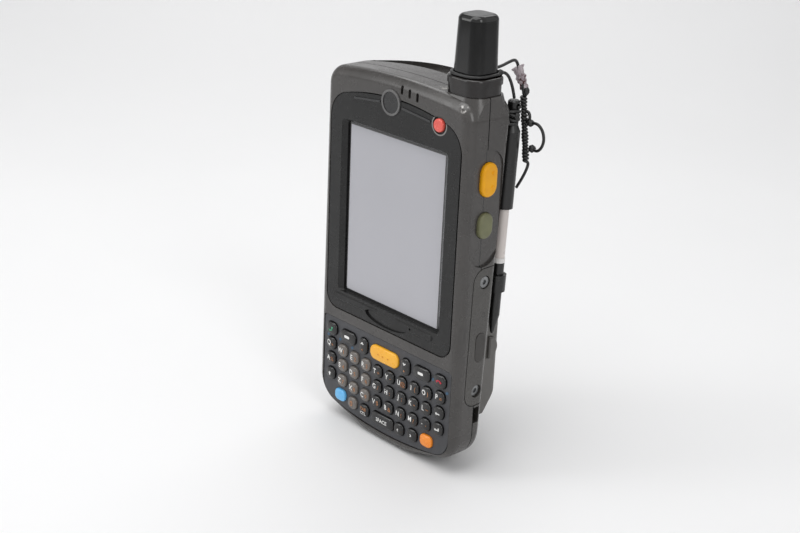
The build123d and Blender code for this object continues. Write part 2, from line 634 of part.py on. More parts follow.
def display_bezel():
    """The dark plate round the screen: sloped window, bar with thumb scoop, seats for badge and lights."""
    plate = front_slab(bezel_outline(), 0, BEZEL_THICKNESS)
    plate -= front_slab(screen_rectangle(WINDOW_BORDER, WINDOW_CORNER), -1, BEZEL_THICKNESS + 1)
    plate -= window_dish()
    bar_shape = Pos(*BAR_CENTRE) * SlotOverall(BAR_LENGTH, BAR_HEIGHT)
    bar = front_slab(bar_shape, -BAR_PROUD, BEZEL_THICKNESS / 2)
    plate += chamfer(bar.faces().sort_by(Axis.Y)[0].edges(), BAR_PROUD * 0.8)
    scoop_place = Pos(0, BAR_CENTRE[1] - BAR_HEIGHT / 2)
    plate -= front_slab(scoop_place * Ellipse(SCOOP_LENGTH / 2, SCOOP_HEIGHT / 2), -2, SCOOP_DEPTH)
    microphone = (MICROPHONE_OFFSET, BAR_CENTRE[1])
    plate -= front_pin(microphone, MICROPHONE_RADIUS, -2, BEZEL_THICKNESS / 2)
    plate -= front_pin(EMBLEM_PLACE, EMBLEM_RADIUS + FIT, -2, BEZEL_THICKNESS * 2)
    plate -= power_button_hole(-2, BEZEL_THICKNESS * 2)
    plate -= front_pin(POWER_BUTTON_PLACE, POWER_SEAT_RADIUS, -2, POWER_SEAT_DEPTH)
    for side, outer in ((-1, LEFT_LIGHT_BAR_OUTER), (1, RIGHT_LIGHT_BAR_OUTER)):
        plate -= front_slab(light_bar(side, outer, FIT), -2, LIGHT_BAR_DEPTH)
    return plate


def emblem_disc():
    """A plain round badge with a raised rim."""
    disc = front_pin(EMBLEM_PLACE, EMBLEM_RADIUS, -EMBLEM_PROUD, BEZEL_THICKNESS)
    rim = EMBLEM_RADIUS * 0.82
    disc -= front_pin(EMBLEM_PLACE, rim, -2, -EMBLEM_PROUD / 2)
    return disc


def status_light_bars():
    """The two light bars, let into the bezel."""
    bars = []
    for side, outer in ((-1, LEFT_LIGHT_BAR_OUTER), (1, RIGHT_LIGHT_BAR_OUTER)):
        bars.append(front_slab(light_bar(side, outer), -LIGHT_BAR_PROUD, LIGHT_BAR_DEPTH))
    return Compound(bars)


def touch_panel():
    """The glass touch panel, pressed against the back of the bezel."""
    back = BEZEL_THICKNESS + TOUCH_PANEL_THICKNESS
    return front_slab(screen_rectangle(TOUCH_PANEL_MARGIN, 1.0), BEZEL_THICKNESS, back)


def lcd_module():
    """The display module between the touch panel and the main board."""
    front = BEZEL_THICKNESS + TOUCH_PANEL_THICKNESS
    return front_slab(screen_rectangle(LCD_MARGIN, 1.0), front, DECK_DEPTH)


# ---- keypad ----

def keypad_outline(grow=0.0):
    """Outline of the keypad plate: straight top, bottom edge that follows the underside."""
    half = KEYPAD_HALF_WIDTH + grow
    low = KEYPAD_CORNER_HEIGHT - grow
    sides = Polyline((-half, low), (-half, KEYPAD_TOP + grow), (half, KEYPAD_TOP + grow), (half, low))
    bottom = ThreePointArc((half, low), (0, KEYPAD_BOTTOM - grow), (-half, low))
    face = make_face(sides + bottom)
    face = fillet(corners_at(face, KEYPAD_TOP + grow), KEYPAD_TOP_CORNER + max(grow, 0))
    return fillet(corners_at(face, low), KEYPAD_BOTTOM_CORNER + grow)


def row_height(row, x):
    """Height of a key of a row at X: the rows sag in the middle."""
    return ROW_HEIGHTS[row] + ROW_SAG * x * x


def column(index):
    """X of a column of the letter rows."""
    return (index - 4.5) * KEY_PITCH


def key_places():
    """Every key node with its keys, each as X, Z, width, height and corner radius."""
    width, height, corner = KEY_SIZE
    keys = {name: [size] for name, size in TOP_KEYS.items()}
    for row, columns in enumerate(LETTER_ROW_COLUMNS):
        keys[f"keys_letter_row_{row + 1}"] = [
            (column(c), row_height(row, column(c)), width, height, corner) for c in columns]
    corner_keys = {
        "key_backspace": (1, BACKSPACE_COLUMN),
        "key_shift": (2, SHIFT_COLUMN),
        "key_enter": (2, ENTER_COLUMN),
    }
    for name, (row, index) in corner_keys.items():
        x = column(index)
        keys[name] = [(x, row_height(row, x), width, height, corner)]
    for name, (x, wide, high, round_off) in BOTTOM_KEYS.items():
        keys[name] = [(x, row_height(3, x), wide, high, round_off)]
    return keys


def key_cap(x, z, width, height, corner):
    """One moulded key, rounded at its top edge."""
    front = KEYPAD_SUNK - KEY_PROUD
    back = KEYPAD_SUNK + KEYPAD_PLATE_THICKNESS + KEY_UNDER
    cap = front_slab(Pos(x, z) * RectangleRounded(width, height, corner), front, back)
    return fillet(cap.faces().sort_by(Axis.Y)[0].edges(), KEY_EDGE_RADIUS)


def keypad_plate():
    """The plate that frames the keys, with one hole for each."""
    face = keypad_outline()
    for keys in key_places().values():
        for x, z, width, height, corner in keys:
            gap = KEY_CLEARANCE
            face -= Pos(x, z) * RectangleRounded(width + 2 * gap, height + 2 * gap, corner + gap)
    return front_slab(face, KEYPAD_SUNK, KEYPAD_SUNK + KEYPAD_PLATE_THICKNESS)


def mat_front():
    """Depth of the front of the keypad mat."""
    return KEYPAD_SUNK + KEYPAD_PLATE_THICKNESS + KEY_UNDER + KEY_TRAVEL_ROOM


def keypad_mat():
    """The silicone contact mat on the floor of the keypad well."""
    return front_slab(keypad_outline(-KEYPAD_MAT_INSET), mat_front(), mat_front() + KEYPAD_MAT_THICKNESS)


# ---- housings and board ----

def cavity_rectangle(bottom, top, inset=0.0):
    """The rounded rectangle that the main board and both housings' cavities share."""
    return Pos(0, (bottom + top) / 2) * RectangleRounded(
        2 * (CAVITY_HALF_WIDTH - inset), top - bottom - 2 * inset, CAVITY_CORNER - inset)


def earpiece_slots():
    """Three slots in the rounded front edge of the crown."""
    width, height = EARPIECE_SLOT_SIZE
    slots = []
    for i in range(EARPIECE_SLOTS):
        x = EARPIECE_FIRST + i * EARPIECE_PITCH
        z = EARPIECE_HEIGHT - i * EARPIECE_STEP
        slots.append(front_slab(Pos(x, z) * pill(height, width), -1, EARPIECE_DEPTH))
    return slots


def front_housing(block):
    """The front shell: display well, keypad well, cavity behind the deck, rounded front edge."""
    keep = front_slab(Rectangle(4 * CROWN_HEIGHT, 4 * CROWN_HEIGHT), -1, SPLIT_DEPTH)
    shell = (block + shoulder_boss()) & keep
    panel_back = BEZEL_THICKNESS + TOUCH_PANEL_THICKNESS
    plate_back = KEYPAD_SUNK + KEYPAD_PLATE_THICKNESS
    cuts = [
        front_slab(bezel_outline(FIT), -1, BEZEL_THICKNESS),
        front_slab(bezel_outline(GROOVE_WIDTH), -1, GROOVE_DEPTH),
        front_slab(screen_rectangle(TOUCH_PANEL_MARGIN + FIT, 1.0), 0, panel_back),
        front_slab(screen_rectangle(LCD_MARGIN + FIT, 1.0), 0, SPLIT_DEPTH),
        front_slab(keypad_outline(FIT), -1, plate_back),
        front_slab(keypad_outline(FINE_GROOVE), -1, GROOVE_DEPTH),
        front_slab(keypad_outline(FIT - KEYPAD_MAT_INSET), 0, mat_front() + KEYPAD_MAT_THICKNESS),
        front_slab(cavity_rectangle(CAVITY_BOTTOM, CAVITY_TOP), DECK_DEPTH, SPLIT_DEPTH),
        power_button_hole(0, power_button_back() + POWER_BUTTON_TRAVEL_ROOM),
        front_pin(EMBLEM_PLACE, EMBLEM_RADIUS + FIT, -1, BEZEL_THICKNESS),
        front_pin(POWER_BUTTON_PLACE, POWER_SEAT_RADIUS, -1, POWER_SEAT_DEPTH),
        spigot_bore(),
        door_prism(FIT),
        door_groove(),
        parting_groove(),
    ]
    bores = housing_screw_bores() + door_screw_bores()
    for cut in cuts + earpiece_slots() + side_button_holes() + bores:
        shell -= cut
    return shell


def rear_housing(block):
    """The rear shell: sloping back, head, spine, base boss, battery bay and scan recess."""
    keep = front_slab(Rectangle(4 * CROWN_HEIGHT, 4 * CROWN_HEIGHT), SPLIT_DEPTH, 2 * BATTERY_REAR)
    shell = ((block - head_corner() + shoulder_boss()) & keep) + head() + spine() + base_boss()
    cavity_back = BATTERY_FRONT - BATTERY_GAP - BAY_WALL
    bay_height = BATTERY_TOP - BATTERY_BOTTOM + 2 * BATTERY_GAP
    bay = Pos(0, (BATTERY_TOP + BATTERY_BOTTOM) / 2) * Rectangle(
        2 * (BATTERY_HALF_WIDTH + BATTERY_GAP), bay_height)
    cuts = [
        front_slab(cavity_rectangle(REAR_CAVITY_BOTTOM, CAVITY_TOP), SPLIT_DEPTH, cavity_back),
        front_slab(bay, BATTERY_FRONT - BATTERY_GAP, 2 * BATTERY_REAR),
        scan_recess(),
        top_slab(window_shape(FIT), WINDOW_FLOOR - SCAN_WINDOW_THICKNESS, CROWN_HEIGHT + 1),
        engine_block(FIT),
        spigot_bore(),
        door_prism(FIT),
        door_groove(),
        parting_groove(),
        lanyard_slot(),
        dock_block(FIT, -1),
    ]
    for cut in cuts + side_button_holes() + housing_screw_bores() + door_screw_bores():
        shell -= cut
    for ear in strap_ears():
        shell += ear
    return shell


def main_board():
    """The circuit board behind the deck."""
    shape = cavity_rectangle(CAVITY_BOTTOM, CAVITY_TOP, BOARD_INSET)
    return front_slab(shape, DECK_DEPTH, DECK_DEPTH + BOARD_THICKNESS)


def power_button_back():
    """Depth of the back of the power button."""
    return BEZEL_THICKNESS + POWER_BUTTON_ROOT


def power_button_hole(near, far):
    """The round hole for the power button."""
    return front_pin(POWER_BUTTON_PLACE, POWER_BUTTON_RADIUS + BUTTON_CLEARANCE, near, far)


def power_button():
    """The round red power button."""
    button = front_pin(POWER_BUTTON_PLACE, POWER_BUTTON_RADIUS, -POWER_BUTTON_PROUD, power_button_back())
    return fillet(button.faces().sort_by(Axis.Y)[0].edges(), POWER_BUTTON_PROUD * 0.7)


def volume_rocker():
    """The rocker on the left side, with a waist between its two ends."""
    rocker = side_button(-1, ROCKER_CENTRE, ROCKER_SIZE)
    rocker = round_button_face(rocker, -1)
    waist_side = side_floor() + SIDE_BUTTON_PROUD + WAIST_RADIUS - WAIST_DEPTH
    return rocker - front_pin((-waist_side, ROCKER_CENTRE[1]), WAIST_RADIUS, 0, 2 * SPLIT_DEPTH)


def access_door(block):
    """The screwed cover on the right side, flush with the casing."""
    door = block & door_prism(0)
    for bore in door_screw_bores():
        door -= bore
    length, width = PLUG_SIZE
    plug_hole = Pos(*PLUG_CENTRE) * pill(length + 2 * FIT, width + 2 * FIT)
    return door - side_slab(plug_hole, plug_inner(), 2 * HIP_HALF_WIDTH)


def plug_inner():
    """X of the inner face of the door's plug."""
    return side_half_width(PLUG_CENTRE[1]) - PLUG_DEPTH


def door_plug():
    """The oval rubber plug in the door."""
    outer = side_half_width(PLUG_CENTRE[1]) + PLUG_PROUD
    return side_slab(Pos(*PLUG_CENTRE) * pill(*PLUG_SIZE), plug_inner(), outer)


def door_screws():
    """The two screws of the door."""
    screws = []
    head_top = COUNTERBORE_FLOOR + SCREW_HEAD_THICKNESS
    for place in DOOR_SCREW_PLACES:
        head = side_pin(place, SCREW_HEAD_RADIUS, COUNTERBORE_FLOOR, head_top)
        shank = side_pin(place, DOOR_SCREW_RADIUS, DOOR_SCREW_END, COUNTERBORE_FLOOR)
        socket = Pos(*place) * RegularPolygon(SCREW_SOCKET[0], 6)
        screws.append(head + shank - side_slab(socket, head_top - SCREW_SOCKET[1], head_top))
    return Compound(screws)


def housing_screws():
    """The four long screws that hold the housings together."""
    screws = []
    for place in HOUSING_SCREW_PLACES:
        seat = rear_depth(place[1]) - HOUSING_SCREW_SUNK
        head = front_pin(place, SCREW_HEAD_RADIUS, seat, seat + SCREW_HEAD_THICKNESS)
        shank = front_pin(place, HOUSING_SCREW_RADIUS, HOUSING_SCREW_END, seat)
        socket = Pos(*place) * RegularPolygon(SCREW_SOCKET[0], 6)
        head_top = seat + SCREW_HEAD_THICKNESS
        screws.append(head + shank - front_slab(socket, head_top - SCREW_SOCKET[1], head_top))
    return Compound(screws)


# ---- head: scan window, engine, antenna ----

def scan_recess():
    """The flat-floored recess cut in the arched crown over the scan window, between two arcs."""
    left, right = RECESS_ENDS
    lip = Pos(0, RECESS_LIP - RECESS_LIP_RADIUS) * Circle(RECESS_LIP_RADIUS)
    span = Pos((left + right) / 2, HEAD_REAR / 2) * Rectangle(right - left, 2 * HEAD_REAR)
    return top_slab((head_plan(RECESS_RIM) & span) - lip, WINDOW_FLOOR, 2 * CROWN_HEIGHT)


def window_shape(grow=0.0):
    """Plan of the scan window."""
    return Pos(*SCAN_WINDOW_CENTRE) * RectangleRounded(
        SCAN_WINDOW_SIZE[0] + 2 * grow, SCAN_WINDOW_SIZE[1] + 2 * grow, SCAN_WINDOW_CORNER + min(grow, 0))


def scan_window():
    """The window that the scanner looks out of, flush with the floor of its recess."""
    return top_slab(window_shape(), WINDOW_FLOOR - SCAN_WINDOW_THICKNESS, WINDOW_FLOOR)


def engine_block(grow=0.0):
    """The block of space of the scan engine under its window."""
    width, depth, height = ENGINE_SIZE
    top = WINDOW_FLOOR - SCAN_WINDOW_THICKNESS - ENGINE_BELOW_WINDOW
    side, centre_depth = SCAN_WINDOW_CENTRE
    plan = Pos(side, centre_depth - ENGINE_SETBACK) * Rectangle(width + 2 * grow, depth + 2 * grow)
    cavity = top_slab(plan, top - height, top + grow)
    if grow > 0:
        cavity += top_slab(window_shape(-ENGINE_WINDOW_INSET), top, WINDOW_FLOOR)
    return cavity


def scan_engine():
    """The scan engine: a block with its lens barrel under the window."""
    lens_top = WINDOW_FLOOR - SCAN_WINDOW_THICKNESS - LENS_BELOW_WINDOW
    lens = Pos(*SCAN_WINDOW_CENTRE) * Circle(LENS_RADIUS)
    return engine_block() + top_slab(lens, lens_top - ENGINE_BELOW_WINDOW, lens_top)


def antenna_collar():
    """The stepped collar that the antenna stands on, with a round foot in the shoulder."""
    flange = top_slab(collar_plan(), COLLAR_STEP, COLLAR_TOP)
    flange = fillet(ring_face(flange, Axis.Z).edges(), COLLAR_EDGE)
    ring = top_slab(collar_plan(-COLLAR_STEP_INSET), COLLAR_BOTTOM, COLLAR_STEP)
    spigot = top_slab(Pos(*ANTENNA_CENTRE) * Circle(SPIGOT_RADIUS), SPIGOT_BOTTOM, COLLAR_BOTTOM)
    stud_hole = Pos(*ANTENNA_CENTRE) * Circle(STUD_RADIUS + FIT)
    return flange + ring + spigot - top_slab(stud_hole, COLLAR_TOP - STUD_LENGTH, 2 * COLLAR_TOP)


def antenna():
    """The stub antenna: a tapered round-cornered cap on a stud."""
    base = Pos(*ANTENNA_CENTRE) * RectangleRounded(*ANTENNA_BASE_SIZE, ANTENNA_CORNER)
    tip = Pos(*ANTENNA_CENTRE) * RectangleRounded(*ANTENNA_TOP_SIZE, ANTENNA_CORNER * 0.9)
    cap = loft([Plane.XY.offset(COLLAR_TOP) * base, Plane.XY.offset(ANTENNA_TOP) * tip])
    cap = fillet(ring_face(cap, Axis.Z).edges(), ANTENNA_TOP_RADIUS)
    stud = top_slab(Pos(*ANTENNA_CENTRE) * Circle(STUD_RADIUS), COLLAR_TOP - STUD_LENGTH, COLLAR_TOP + 1)
    return cap + stud


# ---- base: dock connector ----

def dock_block(grow=0.0, low=0.0):
    """The space of the dock connector in the base."""
    width, depth, height = DOCK_SIZE
    plan = Pos(0, DOCK_CENTRE_DEPTH) * RectangleRounded(width + 2 * grow, depth + 2 * grow, 1.2)
    return top_slab(plan, low, FOOT_HEIGHT + DOCK_SUNK + height)


def dock_connector():
    """The dock connector block with its contact pads, sunk in the base."""
    floor = FOOT_HEIGHT + DOCK_SUNK
    block = dock_block(0.0, floor)
    for i in range(DOCK_PINS):
        x = (i - (DOCK_PINS - 1) / 2) * DOCK_PIN_PITCH
        pad = Pos(x, DOCK_CENTRE_DEPTH) * Rectangle(*DOCK_PIN_SIZE)
        block += top_slab(pad, floor - DOCK_PIN_PROUD, floor + DOCK_PIN_PROUD)
    return block


# ---- battery ----

def latch_shape(grow=0.0):
    """Side view of a battery latch: a half disc that bulges to the rear."""
    disc = Circle(LATCH_RADIUS + grow)
    half = Pos(LATCH_RADIUS, 0) * Rectangle(2 * LATCH_RADIUS + 2 * grow, 4 * LATCH_RADIUS)
    return Pos(*LATCH_CENTRE) * (disc & half)


def latch_span(side, deeper=0.0):
    """X limits of a latch on the right (1) or left (-1) side of the battery."""
    inner = BATTERY_HALF_WIDTH + LATCH_PROUD - LATCH_THICKNESS - deeper
    outer = BATTERY_HALF_WIDTH + LATCH_PROUD
    return min(side * inner, side * outer), max(side * inner, side * outer)


def battery():
    """The battery pack: rounded sides, chamfered foot, pockets for its two latches."""
    width = 2 * BATTERY_HALF_WIDTH
    depth = BATTERY_REAR - BATTERY_FRONT
    plan = Pos(0, (BATTERY_REAR + BATTERY_FRONT) / 2) * Rectangle(width, depth)
    pack = top_slab(plan, BATTERY_BOTTOM, BATTERY_TOP)
    pack = fillet(ring_face(pack, Axis.Y).edges().filter_by(Axis.Z), BATTERY_SIDE_RADIUS)
    chamfer_depth, chamfer_height = BATTERY_CHAMFER
    wedge_top = BATTERY_BOTTOM + chamfer_height * (1 + BATTERY_REAR / chamfer_depth)
    wedge = Polygon(
        (BATTERY_REAR - chamfer_depth, BATTERY_BOTTOM), (2 * BATTERY_REAR, BATTERY_BOTTOM - 1),
        (2 * BATTERY_REAR, wedge_top), align=None)
    pack -= side_slab(wedge, -width, width)
    top_rear = ring_face(pack, Axis.Z).edges().filter_by(Axis.X).sort_by(Axis.Y)[-1]
    pack = chamfer(top_rear, BATTERY_TOP_RADIUS)
    for side in (-1, 1):
        pack -= side_slab(latch_shape(LATCH_GAP), *latch_span(side, LATCH_TRAVEL_ROOM))
    return pack


def battery_latch(side):
    """A half-disc battery latch."""
    latch = side_slab(latch_shape(), *latch_span(side))
    faces = latch.faces().sort_by(Axis.X)
    outer = faces[-1] if side > 0 else faces[0]
    return chamfer(outer.edges(), 0.5)


# ---- hand strap ----

def strap_ears():
    """The two ears on the spine that hold the strap bar."""
    depth, height = STRAP_BAR_PLACE
    ears = []
    inner = STRAP_WIDTH / 2 + STRAP_EAR_GAP
    profile = Pos(depth, height) * Circle(STRAP_EAR_RADIUS)
    reach = depth - SPINE_REAR
    arm = Pos(SPINE_REAR + reach / 2 - 1, height) * Rectangle(reach + 2, 2 * STRAP_EAR_RADIUS)
    bore = Pos(depth, height) * Circle(STRAP_BAR_RADIUS + SCREW_GAP)
    for left in (inner, -inner - STRAP_EAR_WIDTH):
        ears.append(side_slab(profile + arm - bore, left, left + STRAP_EAR_WIDTH))
    return ears


def strap_bar():
    """The steel bar that the strap's upper end turns round."""
    half = STRAP_WIDTH / 2 + STRAP_EAR_GAP + STRAP_EAR_WIDTH
    return side_pin(STRAP_BAR_PLACE, STRAP_BAR_RADIUS, -half, half)


def strap_clip():
    """The clip on the base boss, with the bar that the strap's lower end turns round."""
    inner = STRAP_WIDTH / 2 + STRAP_EAR_GAP
    outer = inner + STRAP_EAR_WIDTH
    low, high = CLIP_HEIGHTS
    depth, height = CLIP_BAR_PLACE
    plate = Pos(0, (low + high) / 2) * RectangleRounded(2 * outer, high - low, 1.5)
    clip = front_slab(plate, BOSS_REAR, BOSS_REAR + CLIP_THICKNESS)
    ear = Pos(depth, height) * Circle(STRAP_EAR_RADIUS)
    ear += Pos((BOSS_REAR + depth) / 2, height) * Rectangle(depth - BOSS_REAR, 2 * STRAP_EAR_RADIUS)
    for left in (inner, -outer):
        clip += side_slab(ear, left, left + STRAP_EAR_WIDTH)
    return clip + side_pin(CLIP_BAR_PLACE, CLIP_BAR_RADIUS, -outer, outer)


def strap_sleeve(place, bar_radius):
    """The sewn sleeve of webbing round a bar."""
    radius = bar_radius + STRAP_SLEEVE_GAP
    ring = Pos(*place) * Circle(radius + STRAP_SLEEVE_WALL)
    return side_slab(ring, -STRAP_WIDTH / 2, STRAP_WIDTH / 2)


def hand_strap():
    """The webbing strap, bowed out behind the battery so that a hand passes under it."""
    knees = [(depth, height) for depth, height, radius in STRAP_KNEES]
    radii = [radius for depth, height, radius in STRAP_KNEES]
    run = FilletPolyline(CLIP_BAR_PLACE, *knees, STRAP_BAR_PLACE, radius=radii)
    band = trace(run, STRAP_THICKNESS)
    strap = side_slab(band, -STRAP_WIDTH / 2, STRAP_WIDTH / 2)
    strap += strap_sleeve(CLIP_BAR_PLACE, CLIP_BAR_RADIUS)
    strap += strap_sleeve(STRAP_BAR_PLACE, STRAP_BAR_RADIUS)
    for place, radius in ((CLIP_BAR_PLACE, CLIP_BAR_RADIUS), (STRAP_BAR_PLACE, STRAP_BAR_RADIUS)):
        strap -= side_pin(place, radius + STRAP_SLEEVE_GAP, -STRAP_WIDTH, STRAP_WIDTH)
    return strap


# ---- stylus ----

def on_stylus_axis(solid):
    """Carry a solid made on the Z axis, at its real height, to the leaning axis of the stylus."""
    lean = degrees(atan(STYLUS_LEAN))
    place = Pos(STYLUS_SIDE, STYLUS_FOOT_DEPTH, STYLUS_TIP_HEIGHT) * Rot(-lean, 0, 0)
    return place * Pos(0, 0, -STYLUS_TIP_HEIGHT) * solid


def turned(profile):
    """A solid of revolution from pairs of radius and height, from the bottom up."""
    points = [(0, profile[0][1])] + list(profile) + [(0, profile[-1][1])]
    face = make_face(Polyline(*[(r, 0, z) for r, z in points], close=True))
    return revolve(face, Axis.Z)


def stylus_cap():
    """The cap at the top of the stylus, with a neck and the eyelet of the tether."""
    cap = turned([
        (CAP_BOTTOM_RADIUS, CAP_BOTTOM), (CAP_RADIUS, CAP_SHOULDER), (NECK_RADIUS, NECK_BOTTOM),
        (NECK_RADIUS, CAP_TOP - 0.6), (NECK_RADIUS - 0.6, CAP_TOP)])
    socket_top = CAP_BOTTOM + SPIGOT_LENGTH + SPIGOT_GAP
    cap -= top_slab(Circle(BARREL_TOP_RADIUS + SPIGOT_GAP), CAP_BOTTOM - 1, socket_top)
    across = Rot(0, 90, 0) * Cylinder(EYELET_RADIUS, 4 * NECK_RADIUS)
    eyelet = Pos(0, 0, CAP_TOP - EYELET_BELOW_TOP) * across
    return on_stylus_axis(cap - eyelet)


def stylus_barrel():
    """The pale barrel between the ring and the cap."""
    bottom = GRIP_TOP + RING_HEIGHT
    return on_stylus_axis(turned([
        (BARREL_RADIUS, bottom), (BARREL_RADIUS, CAP_BOTTOM), (BARREL_TOP_RADIUS, CAP_BOTTOM),
        (BARREL_TOP_RADIUS, CAP_BOTTOM + SPIGOT_LENGTH)]))


def stylus_ring():
    """The white ring between grip and barrel."""
    return on_stylus_axis(turned([(RING_RADIUS, GRIP_TOP), (RING_RADIUS, GRIP_TOP + RING_HEIGHT)]))


def stylus_grip():
    """The black grip and its tapered tip."""
    return on_stylus_axis(turned([
        (TIP_RADIUS * 0.6, STYLUS_TIP_HEIGHT), (TIP_RADIUS, STYLUS_TIP_HEIGHT + 0.8),
        (GRIP_RADIUS, STYLUS_TIP_HEIGHT + TIP_TAPER), (GRIP_RADIUS, GRIP_TOP)]))


def stylus_depth(height):
    """Depth of the stylus axis at a height."""
    return STYLUS_FOOT_DEPTH + STYLUS_LEAN * (height - STYLUS_TIP_HEIGHT)


def stylus_holder():
    """The holder on the spine: a sleeve round the grip, on a web."""
    low, high = HOLDER_HEIGHTS
    inner = GRIP_RADIUS + HOLDER_GAP
    sleeve = on_stylus_axis(top_slab(Circle(inner + HOLDER_WALL), low, high))
    depth, height = HOLDER_WEB
    middle = (low + high) / 2
    web_face = Pos(stylus_depth(middle), middle) * Rectangle(depth, height)
    web = side_slab(web_face, SPINE_RIGHT, STYLUS_SIDE)
    return sleeve + web - on_stylus_axis(top_slab(Circle(inner), low - height, high + height))


# ---- stylus tether ----

def arc_radii(points):
    """Radius of each corner of a cord: 0.45 of its shorter run over the tangent of half its turn."""
    radii = []
    for before, corner, after in zip(points, points[1:], points[2:]):
        first = Vector(*corner) - Vector(*before)
        second = Vector(*after) - Vector(*corner)
        turn = radians(first.get_angle(second))
        radii.append(0.45 * min(first.length, second.length) / tan(turn / 2))
    return radii


def cord_tube(name, points, diameter):
    """A cord of round section along straight runs joined by tangent arcs."""
    radii = arc_radii(points)
    path = FilletPolyline(*points, radius=radii)
    start = Plane(origin=path @ 0, z_dir=path % 0)
    tube = sweep(start * Circle(diameter / 2), path=path)
    ideal = pi * diameter ** 2 / 4 * path.length
    print(f"{name}: length {path.length:.1f}, volume over a straight cord's {tube.volume / ideal:.4f}")
    print(f"  corner radii {[round(r, 1) for r in radii]}")
    return tube


def noose_ring():
    """The turn of cord round the foot of the antenna."""
    grow = NOOSE_GAP + CORD_DIAMETER
    width, depth = ANTENNA_BASE_SIZE
    outer = Pos(*ANTENNA_CENTRE) * RectangleRounded(
        width + 2 * grow, depth + 2 * grow, ANTENNA_CORNER + grow)
    inner = Pos(*ANTENNA_CENTRE) * RectangleRounded(
        width + 2 * NOOSE_GAP, depth + 2 * NOOSE_GAP, ANTENNA_CORNER + NOOSE_GAP)
    half = CORD_DIAMETER / 2
    return top_slab(outer - inner, NOOSE_HEIGHT - half, NOOSE_HEIGHT + half)


def tether_lead():
    """The noose round the antenna and the short lead from it to the stylus."""
    return noose_ring() + cord_tube("tether_lead", LEAD_ROUTE, CORD_DIAMETER)


def tether_cord():
    """The plain stretches of the spare cord: up from the noose to the curl, and its tail."""
    riser = cord_tube("tether_cord riser", RISER_ROUTE, CORD_DIAMETER)
    tail = cord_tube("tether_cord tail", TAIL_ROUTE, CORD_DIAMETER)
    return Compound([riser, tail])


def tether_coil():
    """The curled stretch of the spare cord, as the tube round its curls."""
    return cord_tube("tether_coil", COIL_ROUTE, CURL_DIAMETER)


def tether_loop():
    """The open loop tied off the curl, with a knot at each end."""
    loop = cord_tube("tether_loop", LOOP_ROUTE, CORD_DIAMETER)
    knots = [Pos(*point) * Sphere(KNOT_RADIUS) - loop for point in (LOOP_ROUTE[0], LOOP_ROUTE[-1])]
    return Compound([loop] + knots)


def tether_flag():
    """The folded tape flag round the spare cord."""
    (left, top), (right, bottom) = FLAG_ENDS
    length = hypot(right - left, top - bottom)
    turn = degrees(atan((right - left) / (top - bottom)))
    place = Pos((left + right) / 2, FLAG_DEPTH, (top + bottom) / 2) * Rot(0, -turn, 0)
    flag = Box(FLAG_WIDTH, FLAG_THICKNESS, length)
    return place * (flag - Cylinder(CORD_DIAMETER / 2 + FLAG_HOLE_GAP, 2 * length))


def save(node, solid):
    """Write one node, with the origin carried into the base."""
    placed = Pos(0, -ORIGIN_DEPTH, -FOOT_HEIGHT) * solid
    placed.label = node
    export_step(placed, os.path.join("parts", node + ".step"))


def build_all():
    """Every node of the terminal, by name."""
    block = body_block()
    action_button = side_button(1, ACTION_BUTTON_CENTRE, ACTION_BUTTON_SIZE)
    nodes = {
        "front_housing": front_housing(block),
        "rear_housing": rear_housing(block),
        "display_bezel": display_bezel(),
        "touch_panel": touch_panel(),
        "lcd_module": lcd_module(),
        "emblem_disc": emblem_disc(),
        "status_light_bars": status_light_bars(),
        "keypad_plate": keypad_plate(),
        "keypad_mat": keypad_mat(),
        "main_board": main_board(),
        "power_button": power_button(),
        "scan_button_right": scan_button_right(),
        "action_button_right": round_button_face(action_button, 1),
        "scan_button_left": round_button_face(side_button(-1, SCAN_BUTTON_CENTRE, SCAN_BUTTON_SIZE), -1),
        "volume_rocker": volume_rocker(),
        "access_door": access_door(block),
        "door_plug": door_plug(),
        "door_screws": door_screws(),
        "housing_screws": housing_screws(),
        "scan_window": scan_window(),
        "scan_engine": scan_engine(),
        "antenna_collar": antenna_collar(),
        "antenna": antenna(),
        "dock_connector": dock_connector(),
        "battery": battery(),
        "battery_latch_left": battery_latch(-1),
        "battery_latch_right": battery_latch(1),
        "strap_bar": strap_bar(),
        "strap_clip": strap_clip(),
        "hand_strap": hand_strap(),
        "stylus_cap": stylus_cap(),
        "stylus_barrel": stylus_barrel(),
        "stylus_ring": stylus_ring(),
        "stylus_grip": stylus_grip(),
        "stylus_holder": stylus_holder(),
        "tether_lead": tether_lead(),
        "tether_cord": tether_cord(),
        "tether_coil": tether_coil(),
        "tether_loop": tether_loop(),
        "tether_flag": tether_flag(),
    }
    for node, keys in key_places().items():
        nodes[node] = Compound([key_cap(*key) for key in keys])
    return nodes


os.makedirs("parts", exist_ok=True)
for name, part in build_all().items():
    save(name, part)
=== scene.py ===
import bpy
import numpy as np
from math import cos, pi, radians, sin
from mathutils import Matrix, Vector


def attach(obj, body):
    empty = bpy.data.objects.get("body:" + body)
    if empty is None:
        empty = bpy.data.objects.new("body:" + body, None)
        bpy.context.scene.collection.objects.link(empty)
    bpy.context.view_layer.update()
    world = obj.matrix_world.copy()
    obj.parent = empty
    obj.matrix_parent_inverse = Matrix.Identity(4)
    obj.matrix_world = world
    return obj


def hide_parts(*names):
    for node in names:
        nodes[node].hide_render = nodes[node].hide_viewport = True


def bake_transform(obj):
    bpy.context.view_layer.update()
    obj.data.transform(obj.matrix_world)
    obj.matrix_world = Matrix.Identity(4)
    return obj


# Looks of a handheld data terminal: moulded casing, domed and printed keys, touch screen, corded stylus and
# webbing strap.  Metres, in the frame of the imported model: X to the right, Y from the screen to the back and
# Z up.

